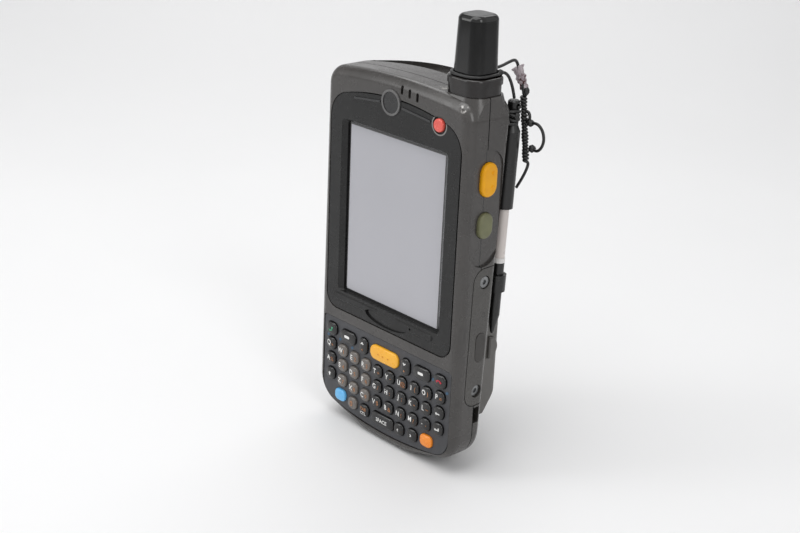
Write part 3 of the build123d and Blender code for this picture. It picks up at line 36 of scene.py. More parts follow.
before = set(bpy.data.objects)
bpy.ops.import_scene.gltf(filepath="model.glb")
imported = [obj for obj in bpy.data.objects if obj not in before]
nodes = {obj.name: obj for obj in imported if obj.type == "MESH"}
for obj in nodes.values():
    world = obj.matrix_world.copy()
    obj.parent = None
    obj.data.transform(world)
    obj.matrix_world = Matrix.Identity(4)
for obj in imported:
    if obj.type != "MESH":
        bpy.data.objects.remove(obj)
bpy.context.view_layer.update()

MM = 0.001
MICRON = 0.001 * MM
FRONT = -8 * MM                 # Y of the casing's front face
SEAM_Y = 2.4 * MM               # Y of the parting plane of the two housings


# ---- camera ----

VIEW_TURN = radians(46.0085)    # line of sight, turned from +Y towards -X
VIEW_DROP = radians(21.515)     # and tipped below the level
VIEW_ROLL = radians(2.483)      # the camera's right side, tipped up
VIEW_FROM = (0.38053, -0.36870, 0.28685)
SENSOR_WIDTH = 36               # in millimetres, as the focal length is
FOCAL_LENGTH = 62.93


def stand_camera():
    """Camera to the right of the front, a little above the top of the casing."""
    ahead = Vector((-sin(VIEW_TURN) * cos(VIEW_DROP), cos(VIEW_TURN) * cos(VIEW_DROP), -sin(VIEW_DROP)))
    right = Vector((cos(VIEW_TURN), sin(VIEW_TURN), 0))
    up = right.cross(ahead)
    across = right * cos(VIEW_ROLL) + up * sin(VIEW_ROLL)
    upright = up * cos(VIEW_ROLL) - right * sin(VIEW_ROLL)
    data = bpy.data.cameras.new("camera")
    data.sensor_width = SENSOR_WIDTH
    data.lens = FOCAL_LENGTH
    data.clip_start = 0.01
    camera = bpy.data.objects.new("camera", data)
    bpy.context.scene.collection.objects.link(camera)
    axes = Matrix((across, upright, -ahead)).transposed().to_4x4()
    camera.matrix_world = Matrix.Translation(VIEW_FROM) @ axes
    bpy.context.scene.camera = camera


stand_camera()


# ---- node trees ----

def linear(colour):
    """sRGB hex to linear RGBA: c / 12.92 up to 0.04045, and ((c + 0.055) / 1.055) ** 2.4 above it."""
    c = np.array([int(colour[i:i + 2], 16) / 255 for i in (1, 3, 5)])
    return (*np.where(c <= 0.04045, c / 12.92, ((c + 0.055) / 1.055) ** 2.4), 1.0)


def add_node(tree, kind, inputs=None, **settings):
    """One node with its settings; inputs gives each socket a value or another node's output."""
    node = tree.nodes.new(kind)
    for name, value in settings.items():
        setattr(node, name, value)
    for socket, value in (inputs or {}).items():
        if isinstance(value, bpy.types.NodeSocket):
            tree.links.new(value, node.inputs[socket])
        else:
            node.inputs[socket].default_value = value
    return node


def start_material(name, **constants):
    """A material with its shader's constants set; gives the material, tree, shader and Object coordinates."""
    material = bpy.data.materials.new(name)
    material.use_nodes = True
    tree = material.node_tree
    shader = tree.nodes["Principled BSDF"]
    for socket, value in constants.items():
        shader.inputs[socket.replace("_", " ")].default_value = value
    place = add_node(tree, "ShaderNodeTexCoord").outputs["Object"]
    return material, tree, shader, place


def mottle(tree, place, low, high, size, detail=4.0, spread=(0.3, 0.7)):
    """Colour that drifts between two hex values over patches of a size in metres."""
    noise = add_node(tree, "ShaderNodeTexNoise", {"Vector": place, "Scale": 1 / size, "Detail": detail})
    ramp = add_node(tree, "ShaderNodeValToRGB", {"Fac": noise.outputs["Fac"]})
    ramp.color_ramp.elements[0].position, ramp.color_ramp.elements[1].position = spread
    ramp.color_ramp.elements[0].color = linear(low)
    ramp.color_ramp.elements[1].color = linear(high)
    return ramp.outputs["Color"]


def uneven(tree, place, low, high, size):
    """A number that drifts between two values over patches of a size in metres."""
    noise = add_node(tree, "ShaderNodeTexNoise", {"Vector": place, "Scale": 1 / size, "Detail": 3.0})
    spread = add_node(tree, "ShaderNodeMapRange", {
        "Value": noise.outputs["Fac"], "From Min": 0.3, "From Max": 0.7, "To Min": low, "To Max": high})
    return spread.outputs["Result"]


def grain(tree, shader, place, size, height):
    """Bump of a grainy moulded surface: noise of a grain size, with a height, both in metres."""
    noise = add_node(tree, "ShaderNodeTexNoise", {"Vector": place, "Scale": 1 / size, "Detail": 2.0})
    bump = add_node(tree, "ShaderNodeBump", {
        "Height": noise.outputs["Fac"], "Distance": height, "Strength": 1.0})
    tree.links.new(bump.outputs["Normal"], shader.inputs["Normal"])


def within(tree, place, centre, radius, blur):
    """1 inside a ball round a point, falling to 0 over a blur outside it."""
    apart = add_node(tree, "ShaderNodeVectorMath", {0: place, 1: centre}, operation="DISTANCE")
    fall = add_node(tree, "ShaderNodeMapRange", {
        "Value": apart.outputs["Value"], "From Min": radius, "From Max": radius + blur,
        "To Min": 1.0, "To Max": 0.0})
    return fall.outputs["Result"]


def tinted(tree, colour, share, tint):
    """A colour mixed towards a hex value where share is above 0."""
    mix = add_node(tree, "ShaderNodeMix", {"Factor": share, 6: colour, 7: linear(tint)}, data_type="RGBA")
    return mix.outputs[2]


STREAK = 1.2 * MM               # width of the streaks in a spot of a rub, of grime, or of a painted highlight


def wear_and_highlight_spot(tree, colour, place, centre, radius, tint):
    """A tinted spot of a rub, of grime, or of a painted highlight: a ball's share, with a blur of 0.8 radius,
    times streaky noise.
    """
    noise = add_node(tree, "ShaderNodeTexNoise", {"Vector": place, "Scale": 1 / STREAK, "Detail": 5.0})
    streak = add_node(tree, "ShaderNodeMapRange", {
        "Value": noise.outputs["Fac"], "From Min": 0.48, "From Max": 0.6})
    spot = within(tree, place, centre, radius, radius * 0.8)
    share = add_node(tree, "ShaderNodeMath", {0: streak.outputs["Result"], 1: spot}, operation="MULTIPLY")
    return tinted(tree, colour, share.outputs[0], tint)


SMOOTHER, ROUGHER = 0.05, 0.07  # how far a surface's roughness drifts from its own value


def moulded(name, low, high, roughness, grit, patch=14, marks_and_painted_light=None, **constants):
    """A moulded plastic, rubber, metal or ink: colour that drifts over patches of a size in millimetres,
    uneven gloss, and grit of a width in millimetres and a height in microns; marks_and_painted_light adds its
    own marks, painted shade and painted highlights."""
    material, tree, shader, place = start_material(name, **constants)
    colour = mottle(tree, place, low, high, patch * MM)
    if marks_and_painted_light:
        colour = marks_and_painted_light(tree, colour, place)
    gloss = uneven(tree, place, roughness - SMOOTHER, roughness + ROUGHER, patch * MM / 3)
    tree.links.new(colour, shader.inputs["Base Color"])
    tree.links.new(gloss, shader.inputs["Roughness"])
    grain(tree, shader, place, grit[0] * MM, grit[1] * MICRON)
    return material


# ---- casing materials ----

# Places of rubs, of painted shade and painted highlights, and of moulded marks.
ANTENNA_RUB = (0.0196, -0.0015, 0.1568)
SHOULDER_RUB_AND_HIGHLIGHT = (0.0360, -0.0068, 0.1532)
DOOR_RING = (0.0413, 0.0051, 0.0694)
POWER_SEAT = (0.0248, -0.0079, 0.1446)
EMBLEM_FIELD = (-0.0019, -0.0084, 0.1475)


def housing_wear_and_painted_light(tree, colour, place):
    """Painted shade along the parting line, where |y - SEAM_Y| is under 0.2 mm; a pale rub by the antenna; and
    a pale rub on the front shoulder, which is partly a painted highlight on its ridge."""
    y = add_node(tree, "ShaderNodeSeparateXYZ", {"Vector": place}).outputs["Y"]
    off = add_node(tree, "ShaderNodeMath", {0: y, 1: SEAM_Y}, operation="SUBTRACT")
    off = add_node(tree, "ShaderNodeMath", {0: off.outputs[0]}, operation="ABSOLUTE")
    seam_shade = add_node(tree, "ShaderNodeMapRange", {
        "Value": off.outputs[0], "From Min": 0.18 * MM, "From Max": 0.28 * MM, "To Min": 1.0, "To Max": 0.0})
    # painted shade: a near-black line along the parting line between the two housings
    colour = tinted(tree, colour, seam_shade.outputs["Result"], "#0c0b0b")
    colour = wear_and_highlight_spot(tree, colour, place, ANTENNA_RUB, 1.4 * MM, "#a9a6a0")
    # the pale spot on the front shoulder is partly a painted highlight on the ridge, partly a rub
    return wear_and_highlight_spot(tree, colour, place, SHOULDER_RUB_AND_HIGHLIGHT, 1.1 * MM, "#c9c6c2")


def door_mark(tree, colour, place):
    """A small dark ring moulded in the access door, 0.4 mm wide, with a radius of 0.9 mm at its middle."""
    outer = within(tree, place, DOOR_RING, 1.1 * MM, 0.1 * MM)
    inner = within(tree, place, DOOR_RING, 0.7 * MM, 0.1 * MM)
    ring = add_node(tree, "ShaderNodeMath", {0: outer, 1: inner}, operation="SUBTRACT")
    return tinted(tree, colour, ring.outputs[0], "#23211f")


def bezel_seat_shade_and_highlight(tree, colour, place):
    """Painted shade in the power button's sunk seat, 3.5 mm in radius, inside a pale rim 0.5 mm wide that is a
    painted highlight.
    """
    # painted highlight on the seat's rim, then painted shade inside the seat
    colour = tinted(tree, colour, within(tree, place, POWER_SEAT, 4.0 * MM, 0.1 * MM), "#8b8a87")
    return tinted(tree, colour, within(tree, place, POWER_SEAT, 3.5 * MM, 0.1 * MM), "#131212")


def emblem_field_shade(tree, colour, place):
    """Painted shade over the round emblem's sunk field, 4.2 mm in radius, making it darker than its raised
    rim.
    """
    return tinted(tree, colour, within(tree, place, EMBLEM_FIELD, 4.2 * MM, 0.2 * MM), "#1d1d1e")


# ABS and polycarbonate blend, moulded in a spark-eroded tool and handled for years: the eye sees a satin warm
# charcoal, with paler rubbed patches, one of them on the front shoulder partly a painted highlight, and a line
# of painted shade along the parting line.  The real grit is 0.1 mm wide; here and below it is drawn 0.3 to 0.6
# mm wide to show.
housing_abs = moulded("housing_abs", "#363432", "#403d3b", 0.24, (0.45, 7), marks_and_painted_light=housing_wear_and_painted_light, IOR=1.53,
                      Specular_IOR_Level=0.6)
# The door, of the same blend from its own tool: a shade paler and duller.
door_abs = moulded("door_abs", "#3e3c39", "#474542", 0.27, (0.45, 10), marks_and_painted_light=door_mark, IOR=1.53)
# ABS bezel with a finer polish than the casing: a little darker and cooler.
# Round the power button's seat the bezel carries painted shade inside and a painted highlight on the rim.
bezel_abs = moulded("bezel_abs", "#191919", "#212121", 0.28, (0.4, 6), marks_and_painted_light=bezel_seat_shade_and_highlight, IOR=1.53,
                    Specular_IOR_Level=0.3)
# ABS emblem: a pale grey rim, worn by handling and partly a painted highlight, round a dark field of painted
# shade.
emblem_abs = moulded("emblem_abs", "#5b5a5a", "#686766", 0.26, (0.4, 6), marks_and_painted_light=emblem_field_shade, IOR=1.53)
# ABS keypad plate: dark bluish grey with a dull, even grain.
plate_abs = moulded("keypad_plate_abs", "#37383b", "#3f4044", 0.42, (0.4, 8), IOR=1.53)
# Battery pack in a coarser texture than the casing: a dull, worn warm grey.
battery_abs = moulded("battery_pack_abs", "#5a5855", "#64625f", 0.4, (0.6, 14), IOR=1.53)
# Rubber plug in the door: charcoal with no shine.
rubber_plug = moulded("plug_rubber", "#383634", "#403e3c", 0.6, (0.5, 8), IOR=1.5)


# ---- key, button and ink materials ----

# Polycarbonate key caps, polished: deep gloss with soft wide highlights over a waviness 1.2 mm wide.
POLISH = (1.2, 2)
key_dark = moulded("key_black_polycarbonate", "#0c0b0b", "#121111", 0.14, POLISH, 4, IOR=1.58)
key_light = moulded("key_grey_polycarbonate", "#65605b", "#716b66", 0.18, POLISH, 4, IOR=1.58)
key_yellow = moulded("key_yellow_polycarbonate", "#f9af18", "#febc32", 0.3, POLISH, 6, IOR=1.58)
key_blue = moulded("key_blue_polycarbonate", "#64baf3", "#7ac8f9", 0.24, POLISH, 4, IOR=1.58)
key_orange = moulded("key_orange_polycarbonate", "#fa8a1c", "#ff992e", 0.24, POLISH, 4, IOR=1.58)
key_red = moulded("key_red_polycarbonate", "#e2564a", "#ec665a", 0.24, POLISH, 3, IOR=1.58)

# Silicone-rubber side buttons: flat colour, dull sheen.
RUBBER_GRIT = (0.4, 4)
button_yellow = moulded("button_yellow_silicone", "#e8a000", "#f2ad08", 0.42, RUBBER_GRIT, 6, IOR=1.42)
button_olive = moulded("button_olive_silicone", "#6a6b4f", "#767759", 0.42, RUBBER_GRIT, 6, IOR=1.42)
button_black = moulded("button_black_silicone", "#232323", "#2b2b2b", 0.45, RUBBER_GRIT, 6, IOR=1.42)

# Printed legends: opaque screen-printing ink, matt.
INK_GRIT = (0.5, 1)
ink_white = moulded("ink_white", "#e9e9e6", "#f4f4f2", 0.6, INK_GRIT, 2, IOR=1.5)
ink_orange = moulded("ink_orange", "#a8714b", "#b6835e", 0.6, INK_GRIT, 2, IOR=1.5)
ink_green = moulded("ink_green", "#3f8f6c", "#4b9d7a", 0.6, INK_GRIT, 2, IOR=1.5)
ink_amber = moulded("ink_amber", "#d98a1c", "#e29628", 0.5, INK_GRIT, 2, IOR=1.5)
ink_blue = moulded("ink_blue", "#3b5872", "#486882", 0.6, INK_GRIT, 2, IOR=1.5)
ink_red = moulded("ink_red", "#b5283a", "#c43347", 0.6, INK_GRIT, 2, IOR=1.5)


# ---- antenna, stylus and tether materials ----

TAPE_GRIME = (0.0368, 0.0263, 0.1578)


def tape_dirt(tree, colour, place):
    """Dark red-brown grime where the tape's lower end is knotted in the cord."""
    return wear_and_highlight_spot(tree, colour, place, TAPE_GRIME, 3.4 * MM, "#4a2526")


# Polyurethane antenna cap: high gloss black.
antenna_gloss = moulded("antenna_gloss_polyurethane", "#050505", "#080808", 0.09, POLISH, 20, IOR=1.5)
# The collar under it is rubbed by fingers: black with shallow, glossy unevenness.
collar_abs = moulded("antenna_collar_abs", "#0e0b0a", "#1e1816", 0.15, (1.2, 20), 6, IOR=1.53)
# Stylus: satin ABS tube, white ring, black cap and grip.
stylus_pale = moulded("stylus_barrel_abs", "#d1c9c4", "#dbd3ce", 0.3, (0.4, 3), IOR=1.53)
stylus_white = moulded("stylus_ring_abs", "#dddbd8", "#e6e4e2", 0.3, (0.4, 3), IOR=1.53)
stylus_black = moulded("stylus_cap_abs", "#090909", "#101010", 0.3, (0.4, 4), IOR=1.53)
# Polypropylene tape, crumpled and grimy: a milky mauve with sharp small glints.
tape = moulded("tape_polypropylene", "#a1949a", "#cbc2c5", 0.28, (1.2, 120), 2, marks_and_painted_light=tape_dirt, IOR=1.49)
# Cord in an extruded polyurethane skin: black with a soft line of light along it.
cord_skin = moulded("cord_polyurethane", "#151515", "#1e1e1e", 0.38, (0.5, 4), 3, IOR=1.5)


# ---- materials of the pieces behind and inside ----

# Steel of the screws, the strap's bar and the display's frame: grey metal, dulled by handling.
steel = moulded("screw_steel", "#737475", "#8f9091", 0.3, (0.3, 4), 2, Metallic=1.0)
# Die-cast zinc of the scan engine: a flat, grainy grey metal.
engine_metal = moulded("engine_die_cast_zinc", "#85878b", "#95979b", 0.45, (0.5, 10), 4, Metallic=1.0)
# Smoked polycarbonate of the scan window: nearly black red, polished.
scan_glass = moulded("scan_window_polycarbonate", "#1c0a0c", "#260e11", 0.08, (2.0, 0.5), 10, IOR=1.58)
# Smoked polycarbonate of the status lights: black and smooth while they are off.
light_pipe = moulded("light_pipe_polycarbonate", "#1b1b1c", "#232325", 0.2, (0.6, 2), 4, IOR=1.58)
# Silicone contact mat: a milky, dull grey.
silicone_mat = moulded("mat_silicone", "#8b8f92", "#979b9e", 0.55, (0.5, 4), IOR=1.41)
# Solder mask over copper: green lacquer with a low shine.
board_mask = moulded("board_solder_mask", "#234a30", "#2c573a", 0.35, (0.8, 4), IOR=1.5)
# Liquid-crystal polymer of the dock connector: smooth black.
dock_plastic = moulded("dock_liquid_crystal_polymer", "#161618", "#1e1e20", 0.4, (0.5, 4), IOR=1.6)


# ---- touch screen and webbing ----

LIT_HALF_WIDTH = 27.0 * MM      # of the grey field inside the printed border
LIT_HALF_HEIGHT = 35.75 * MM
LIT_MIDDLE = 97.1 * MM          # Z of its middle


def touch_glass_material():
    """Hard-coated touch film over a switched-off reflective display: pale grey, framed by a black printed
    border, which is where max(|x| - half width, |z - middle| - half height) is above zero."""
    material, tree, shader, place = start_material("touch_glass_hard_coat", IOR=1.5)
    shader.inputs["Coat Weight"].default_value = 0.6
    shader.inputs["Coat Roughness"].default_value = 0.06
    parts = add_node(tree, "ShaderNodeSeparateXYZ", {"Vector": place})
    across = add_node(tree, "ShaderNodeMath", {0: parts.outputs["X"]}, operation="ABSOLUTE")
    across = add_node(tree, "ShaderNodeMath", {0: across.outputs[0], 1: LIT_HALF_WIDTH}, operation="SUBTRACT")
    tall = add_node(tree, "ShaderNodeMath", {0: parts.outputs["Z"], 1: LIT_MIDDLE}, operation="SUBTRACT")
    tall = add_node(tree, "ShaderNodeMath", {0: tall.outputs[0]}, operation="ABSOLUTE")
    tall = add_node(tree, "ShaderNodeMath", {0: tall.outputs[0], 1: LIT_HALF_HEIGHT}, operation="SUBTRACT")
    outside = add_node(tree, "ShaderNodeMath", {
        0: across.outputs[0], 1: tall.outputs[0]}, operation="MAXIMUM")
    border = add_node(tree, "ShaderNodeMapRange", {
        "Value": outside.outputs[0], "From Min": -0.05 * MM, "From Max": 0.05 * MM})
    grey = mottle(tree, place, "#adadb3", "#b5b5bb", 80 * MM, 1.0, (0.2, 0.8))
    colour = tinted(tree, grey, border.outputs["Result"], "#0b0b0c")
    tree.links.new(colour, shader.inputs["Base Color"])
    tree.links.new(uneven(tree, place, 0.25, 0.27, 80 * MM), shader.inputs["Roughness"])
    return material


touch_glass = touch_glass_material()

RIB_PITCH = 1.1 * MM
YARN_PITCH = 0.9 * MM
COARSER = 2.193                 # ribs and yarns are drawn this many times as coarse, to show
WAVE = 2 * pi / 20              # pitch of a wave texture at a scale of 1


def webbing_material():
    """Nylon webbing, plain woven: ribs across the strap times warp yarns along it, on the strap's UV map,
    which is in metres along and across it.  The eye sees dull black with a soft sheen on each rib."""
    material, tree, shader, _ = start_material("strap_nylon_webbing", Roughness=0.75, IOR=1.53)
    shader.inputs["Sheen Weight"].default_value = 0.25
    shader.inputs["Sheen Roughness"].default_value = 0.4
    uv = add_node(tree, "ShaderNodeUVMap", uv_map="weave").outputs["UV"]
    ribs, yarns = (
        add_node(tree, "ShaderNodeTexWave", {
            "Vector": uv, "Scale": WAVE / (COARSER * pitch), "Distortion": 0.3}, bands_direction=direction)
        for pitch, direction in ((RIB_PITCH, "X"), (YARN_PITCH, "Y")))
    weave = add_node(tree, "ShaderNodeMath", {
        0: ribs.outputs["Fac"], 1: yarns.outputs["Fac"]}, operation="MULTIPLY")
    colour = add_node(tree, "ShaderNodeMix", {
        "Factor": weave.outputs[0], 6: linear("#101011"), 7: linear("#252528")}, data_type="RGBA")
    bump = add_node(tree, "ShaderNodeBump", {"Height": weave.outputs[0], "Distance": 0.18 * MM})
    tree.links.new(colour.outputs[2], shader.inputs["Base Color"])
    tree.links.new(bump.outputs["Normal"], shader.inputs["Normal"])
    return material


webbing = webbing_material()

# What each solid of the model is finished in.
NODE_MATERIALS = {
    housing_abs: ["front_housing", "rear_housing"],
    door_abs: ["access_door"],
    bezel_abs: ["display_bezel"],
    emblem_abs: ["emblem_disc"],
    plate_abs: ["keypad_plate"],
    touch_glass: ["touch_panel"],
    steel: ["lcd_module", "door_screws", "housing_screws", "strap_bar"],
    light_pipe: ["status_light_bars"],
    silicone_mat: ["keypad_mat"],
    board_mask: ["main_board"],
    key_red: ["power_button"],
    button_yellow: ["scan_button_right", "scan_button_left"],
    button_olive: ["action_button_right"],
    button_black: ["volume_rocker"],
    rubber_plug: ["door_plug"],
    scan_glass: ["scan_window"],
    engine_metal: ["scan_engine"],
    collar_abs: ["antenna_collar"],
    antenna_gloss: ["antenna"],
    dock_plastic: ["dock_connector"],
    battery_abs: ["battery", "battery_latch_left", "battery_latch_right", "strap_clip"],
    webbing: ["hand_strap"],
    stylus_black: ["stylus_cap", "stylus_grip", "stylus_holder"],
    stylus_pale: ["stylus_barrel"],
    stylus_white: ["stylus_ring"],
    cord_skin: ["tether_lead", "tether_cord", "tether_coil", "tether_loop"],
    tape: ["tether_flag"],
}

for finish, names in NODE_MATERIALS.items():
    for name in names:
        nodes[name].data.materials.clear()
        nodes[name].data.materials.append(finish)


# ---- meshes ----

def add_piece(name, data, body, slot, *materials):
    """Link a mesh or curve that is already in place, paint it and let it ride on its body."""
    piece = bpy.data.objects.new(name, data)
    bpy.context.scene.collection.objects.link(piece)
    for material in materials:
        piece.data.materials.append(material)
    if body:
        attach(piece, body)
    return piece


def grid_faces(rows, columns, closed):
    """Quads of a grid of rows by columns of points; closed joins the last column to the first."""
    steps = columns if closed else columns - 1
    r, c = np.meshgrid(np.arange(rows - 1), np.arange(steps), indexing="ij")
    near, far = r * columns, (r + 1) * columns
    after = (c + 1) % columns
    return np.stack([near + c, near + after, far + after, far + c], -1).reshape(-1, 4)


def mesh_from(name, points, faces, paints=None, smooth=True):
    """A mesh from an array of points and lists of faces; paints gives the number of each face's material."""
    data = bpy.data.meshes.new(name)
    data.from_pydata(points.tolist(), [], [list(map(int, f)) for f in faces])
    if paints is not None:
        data.polygons.foreach_set("material_index", np.asarray(paints, np.int32))
    data.polygons.foreach_set("use_smooth", np.full(len(data.polygons), smooth))
    data.update()
    return data


def join_parts(parts):
    """Points, faces and paints of several parts as one: a part's faces count on from the points before it."""
    points, faces, paints, start = [], [], [], 0
    for part_points, part_faces, paint in parts:
        points.append(part_points)
        faces += [[i + start for i in map(int, face)] for face in part_faces]
        paints += [paint] * len(part_faces)
        start += len(part_points)
    return np.concatenate(points), faces, paints


def joined_mesh(name, *parts, smooth=True):
    """One mesh of several parts, each of them points, faces and a paint."""
    return mesh_from(name, *join_parts(parts), smooth=smooth)


# ---- lines and tubes ----

def nurbs(name, points, diameter=0.0):
    """A curve of one open NURBS spline of order 3 that ends at its first and last points, round if it has a
    diameter."""
    data = bpy.data.curves.new(name, "CURVE")
    data.dimensions = "3D"
    data.resolution_u = 12
    data.bevel_depth = diameter / 2
    data.bevel_resolution = 5
    data.use_fill_caps = diameter > 0
    spline = data.splines.new("NURBS")
    spline.points.add(len(points) - 1)
    spline.points.foreach_set("co", np.hstack([points, np.ones((len(points), 1))]).ravel())
    spline.order_u = 3
    spline.use_endpoint_u = True
    return data


def vertices_of(mesh):
    """The points of a mesh as an array."""
    points = np.empty(len(mesh.vertices) * 3)
    mesh.vertices.foreach_get("co", points)
    return points.reshape(-1, 3)


def centreline(points):
    """Points along the smooth line of a route."""
    data = nurbs("route", points)
    data.resolution_u = 24
    holder = bpy.data.objects.new("route", data)
    mesh = bpy.data.meshes.new_from_object(holder)
    line = vertices_of(mesh)
    bpy.data.objects.remove(holder)
    bpy.data.curves.remove(data)
    bpy.data.meshes.remove(mesh)
    return line


def run_along(line):
    """Distance from a line's start to each of its points."""
    return np.concatenate([[0], np.cumsum(np.linalg.norm(np.diff(line, axis=0), axis=1))])


def resample(line, count):
    """count points at even steps of arc length along a line."""
    run = run_along(line)
    at = np.linspace(0, run[-1], count)
    return np.stack([np.interp(at, run, line[:, i]) for i in range(3)], 1)


def unit(vectors):
    """Each row divided by its length."""
    return vectors / np.linalg.norm(vectors, axis=1, keepdims=True)


def tube(line, radius, sides=12):
    """A round tube along a line: p(s) + radius (n cos a + b sin a), where n and b are square to the line and
    n also to a fixed guide; each end is closed by one flat face."""
    along = unit(np.gradient(line, axis=0))
    side = unit(np.cross(along, (0.31, 0.52, 0.79)))
    back = np.cross(along, side)
    a = np.linspace(0, 2 * pi, sides, endpoint=False)
    ring = side[:, None] * np.cos(a)[None, :, None] + back[:, None] * np.sin(a)[None, :, None]
    points = (line[:, None] + radius * ring).reshape(-1, 3)
    count = len(points)
    ends = [list(range(sides))[::-1], list(range(count - sides, count))]
    return points, grid_faces(len(line), sides, True).tolist() + ends, 0


def ball(centre, radius, squash=(1, 1, 1)):
    """A lumpy knot: a sphere of latitude and longitude, with radius (1 + 0.12 sin(3 about + 4 down))."""
    rows, columns = 10, 16
    down = np.linspace(0.001, pi - 0.001, rows)[:, None]
    about = np.linspace(0, 2 * pi, columns, endpoint=False)[None, :]
    r = radius * (1 + 0.12 * np.sin(3 * about + 4 * down))
    x, y, z = r * np.sin(down) * np.cos(about), r * np.sin(down) * np.sin(about), r * np.cos(down)
    points = np.stack([x, y, z], -1)
    points = points.reshape(-1, 3) * np.array(squash) + np.array(centre)
    return points, grid_faces(rows, columns, True).tolist(), 0


# ---- tether ----

CORD_DIAMETER = 1.2 * MM
CORD_RADIUS = CORD_DIAMETER / 2
CURL_TURNS = 20
CURL_RADIUS = 0.9 * MM
TURN_POINTS = 12                # points on each turn of the curl

# Routes of the cords, as control points.
RISER = [
    (0.0306, 0.0132, 0.1645), (0.0316, 0.0164, 0.1652), (0.0326, 0.0194, 0.1666), (0.0326, 0.0226, 0.1672),
    (0.0316, 0.0254, 0.1659), (0.0320, 0.0263, 0.1628), (0.0338, 0.0262, 0.1594), (0.0353, 0.0256, 0.1568),
    (0.0361, 0.0253, 0.1547)]
CURL = [
    (0.0353, 0.0263, 0.1534), (0.0366, 0.0263, 0.1442), (0.0378, 0.0263, 0.1362), (0.0389, 0.0263, 0.1278)]
TAIL = [
    (0.0397, 0.0271, 0.1268), (0.0391, 0.0266, 0.1239), (0.0378, 0.0258, 0.1202), (0.0359, 0.0254, 0.1166)]
LOOP = [
    (0.0399, 0.0263, 0.1434), (0.0424, 0.0263, 0.1441), (0.0450, 0.0263, 0.1431), (0.0468, 0.0263, 0.1408),
    (0.0473, 0.0263, 0.1376), (0.0460, 0.0263, 0.1344), (0.0436, 0.0263, 0.1328), (0.0416, 0.0263, 0.1336)]
INNER_LOOP = [
    (0.0362, 0.0263, 0.1474), (0.0382, 0.0263, 0.1478), (0.0394, 0.0263, 0.1462), (0.0392, 0.0263, 0.1440),
    (0.0374, 0.0263, 0.1430)]
LEAD = [
    (0.0352, 0.0122, 0.1644), (0.0362, 0.0154, 0.1636), (0.0363, 0.0186, 0.1582), (0.0360, 0.0203, 0.1534)]

# The noose round the antenna's base: a rounded rectangle, as its middle, half sides, corner and height.
NOOSE = ((0.0302, 0.0042), (0.0079, 0.0082), 0.0057, 0.1644)
NOOSE_KNOT = (0.0363, 0.0110, 0.1645)
CURL_KNOT = (0.0362, 0.0263, 0.1552)    # where the curl hangs from the tape
NECK = (0.0360, 0.0194, 0.1502)         # middle of the stylus's neck, at the top of the turns round it
NECK_KNOT = (0.0388, 0.0190, 0.1470)
NECK_TURNS = 4
NECK_RADIUS = 2.9 * MM
NECK_WOUND = 6.2 * MM                   # height of those turns
TAPE_TOP = (0.0312, 0.0263, 0.1638)
TAPE_BOTTOM = (0.0356, 0.0263, 0.1560)
TAPE_HALF_WIDTH = 2.7 * MM
TAPE_HALF_THICKNESS = 1.05 * MM


def curls(route, turns, radius):
    """Helix round a route: c(s) + r(s) (n cos a + b sin a), with the turns crowding and swelling a little."""
    count = turns * TURN_POINTS + 1
    line = resample(centreline(route), count)
    along = unit(np.gradient(line, axis=0))
    side = unit(np.cross(along, (0, 1, 0)))
    back = np.cross(side, along)
    s = np.linspace(0, 1, count)
    angle = 2 * pi * turns * s + 0.5 * np.sin(9 * s)
    r = radius * (0.88 + 0.12 * np.sin(23 * s))
    return line + r[:, None] * (side * np.cos(angle)[:, None] + back * np.sin(angle)[:, None])


def corner_round(centre, half, corner, height, steps=6):
    """Points round a rounded rectangle at a height, from its back right corner by its left to its right side:
    each corner's centre plus its radius in every direction."""
    angles = np.radians(np.arange(0, 360, 90 / steps)) + radians(45)
    x = np.sign(np.cos(angles)) * (half[0] - corner) + corner * np.cos(angles)
    y = np.sign(np.sin(angles)) * (half[1] - corner) + corner * np.sin(angles)
    return np.stack([centre[0] + x, centre[1] + y, np.full(len(x), height)], 1)


def tape_flag():
    """Tape folded round the cord and pinched: a closed lens section carried from top to bottom, with a half
    width that shrinks by a third along it, and crumples in both directions."""
    rows, columns = 26, 36
    top, bottom = np.array(TAPE_TOP), np.array(TAPE_BOTTOM)
    down = (bottom - top) / np.linalg.norm(bottom - top)
    wide = np.cross(down, (0, 1, 0))
    s = np.linspace(0, 1, rows)[:, None]
    a = np.linspace(0, 2 * pi, columns, endpoint=False)[None, :]
    crumple = 1 + 0.16 * np.sin(13 * s + 1) + 0.1 * np.sin(29 * s + 2 * a)
    half_width = TAPE_HALF_WIDTH * (1 - 0.35 * s) * crumple
    half_thickness = TAPE_HALF_THICKNESS * (1 + 0.2 * np.sin(17 * s + 3 * a))
    u = half_width * np.cos(a) * np.abs(np.cos(a)) ** 0.2
    v = half_thickness * np.sin(a) + 0.18 * MM * np.sin(9 * a + 14 * s)
    middle = top + s * (bottom - top)
    points = middle[:, None] + u[..., None] * wide + v[..., None] * np.array((0, 1, 0))
    last = (rows - 1) * columns
    ends = [list(range(columns))[::-1], list(range(last, last + columns))]
    return points.reshape(-1, 3), grid_faces(rows, columns, True).tolist() + ends, 0


def neck_turns():
    """Turns of the lead wound down the stylus's neck, under its eye: a helix whose radius and height wander
    by 0.22 and 0.3 mm."""
    s = np.linspace(0, 1, 24 * NECK_TURNS + 1)
    a = 2 * pi * NECK_TURNS * s
    r = NECK_RADIUS + 0.22 * MM * np.sin(11 * a / 4)
    z = NECK[2] - NECK_WOUND * s + 0.3 * MM * np.sin(2.3 * a)
    return np.stack([NECK[0] + r * np.cos(a), NECK[1] + r * np.sin(a), z], 1)


lead_line = centreline(np.vstack([corner_round(*NOOSE), LEAD]))
spare_points = np.vstack([RISER, curls(CURL, CURL_TURNS, CURL_RADIUS), TAIL])
spare_line = centreline(spare_points)

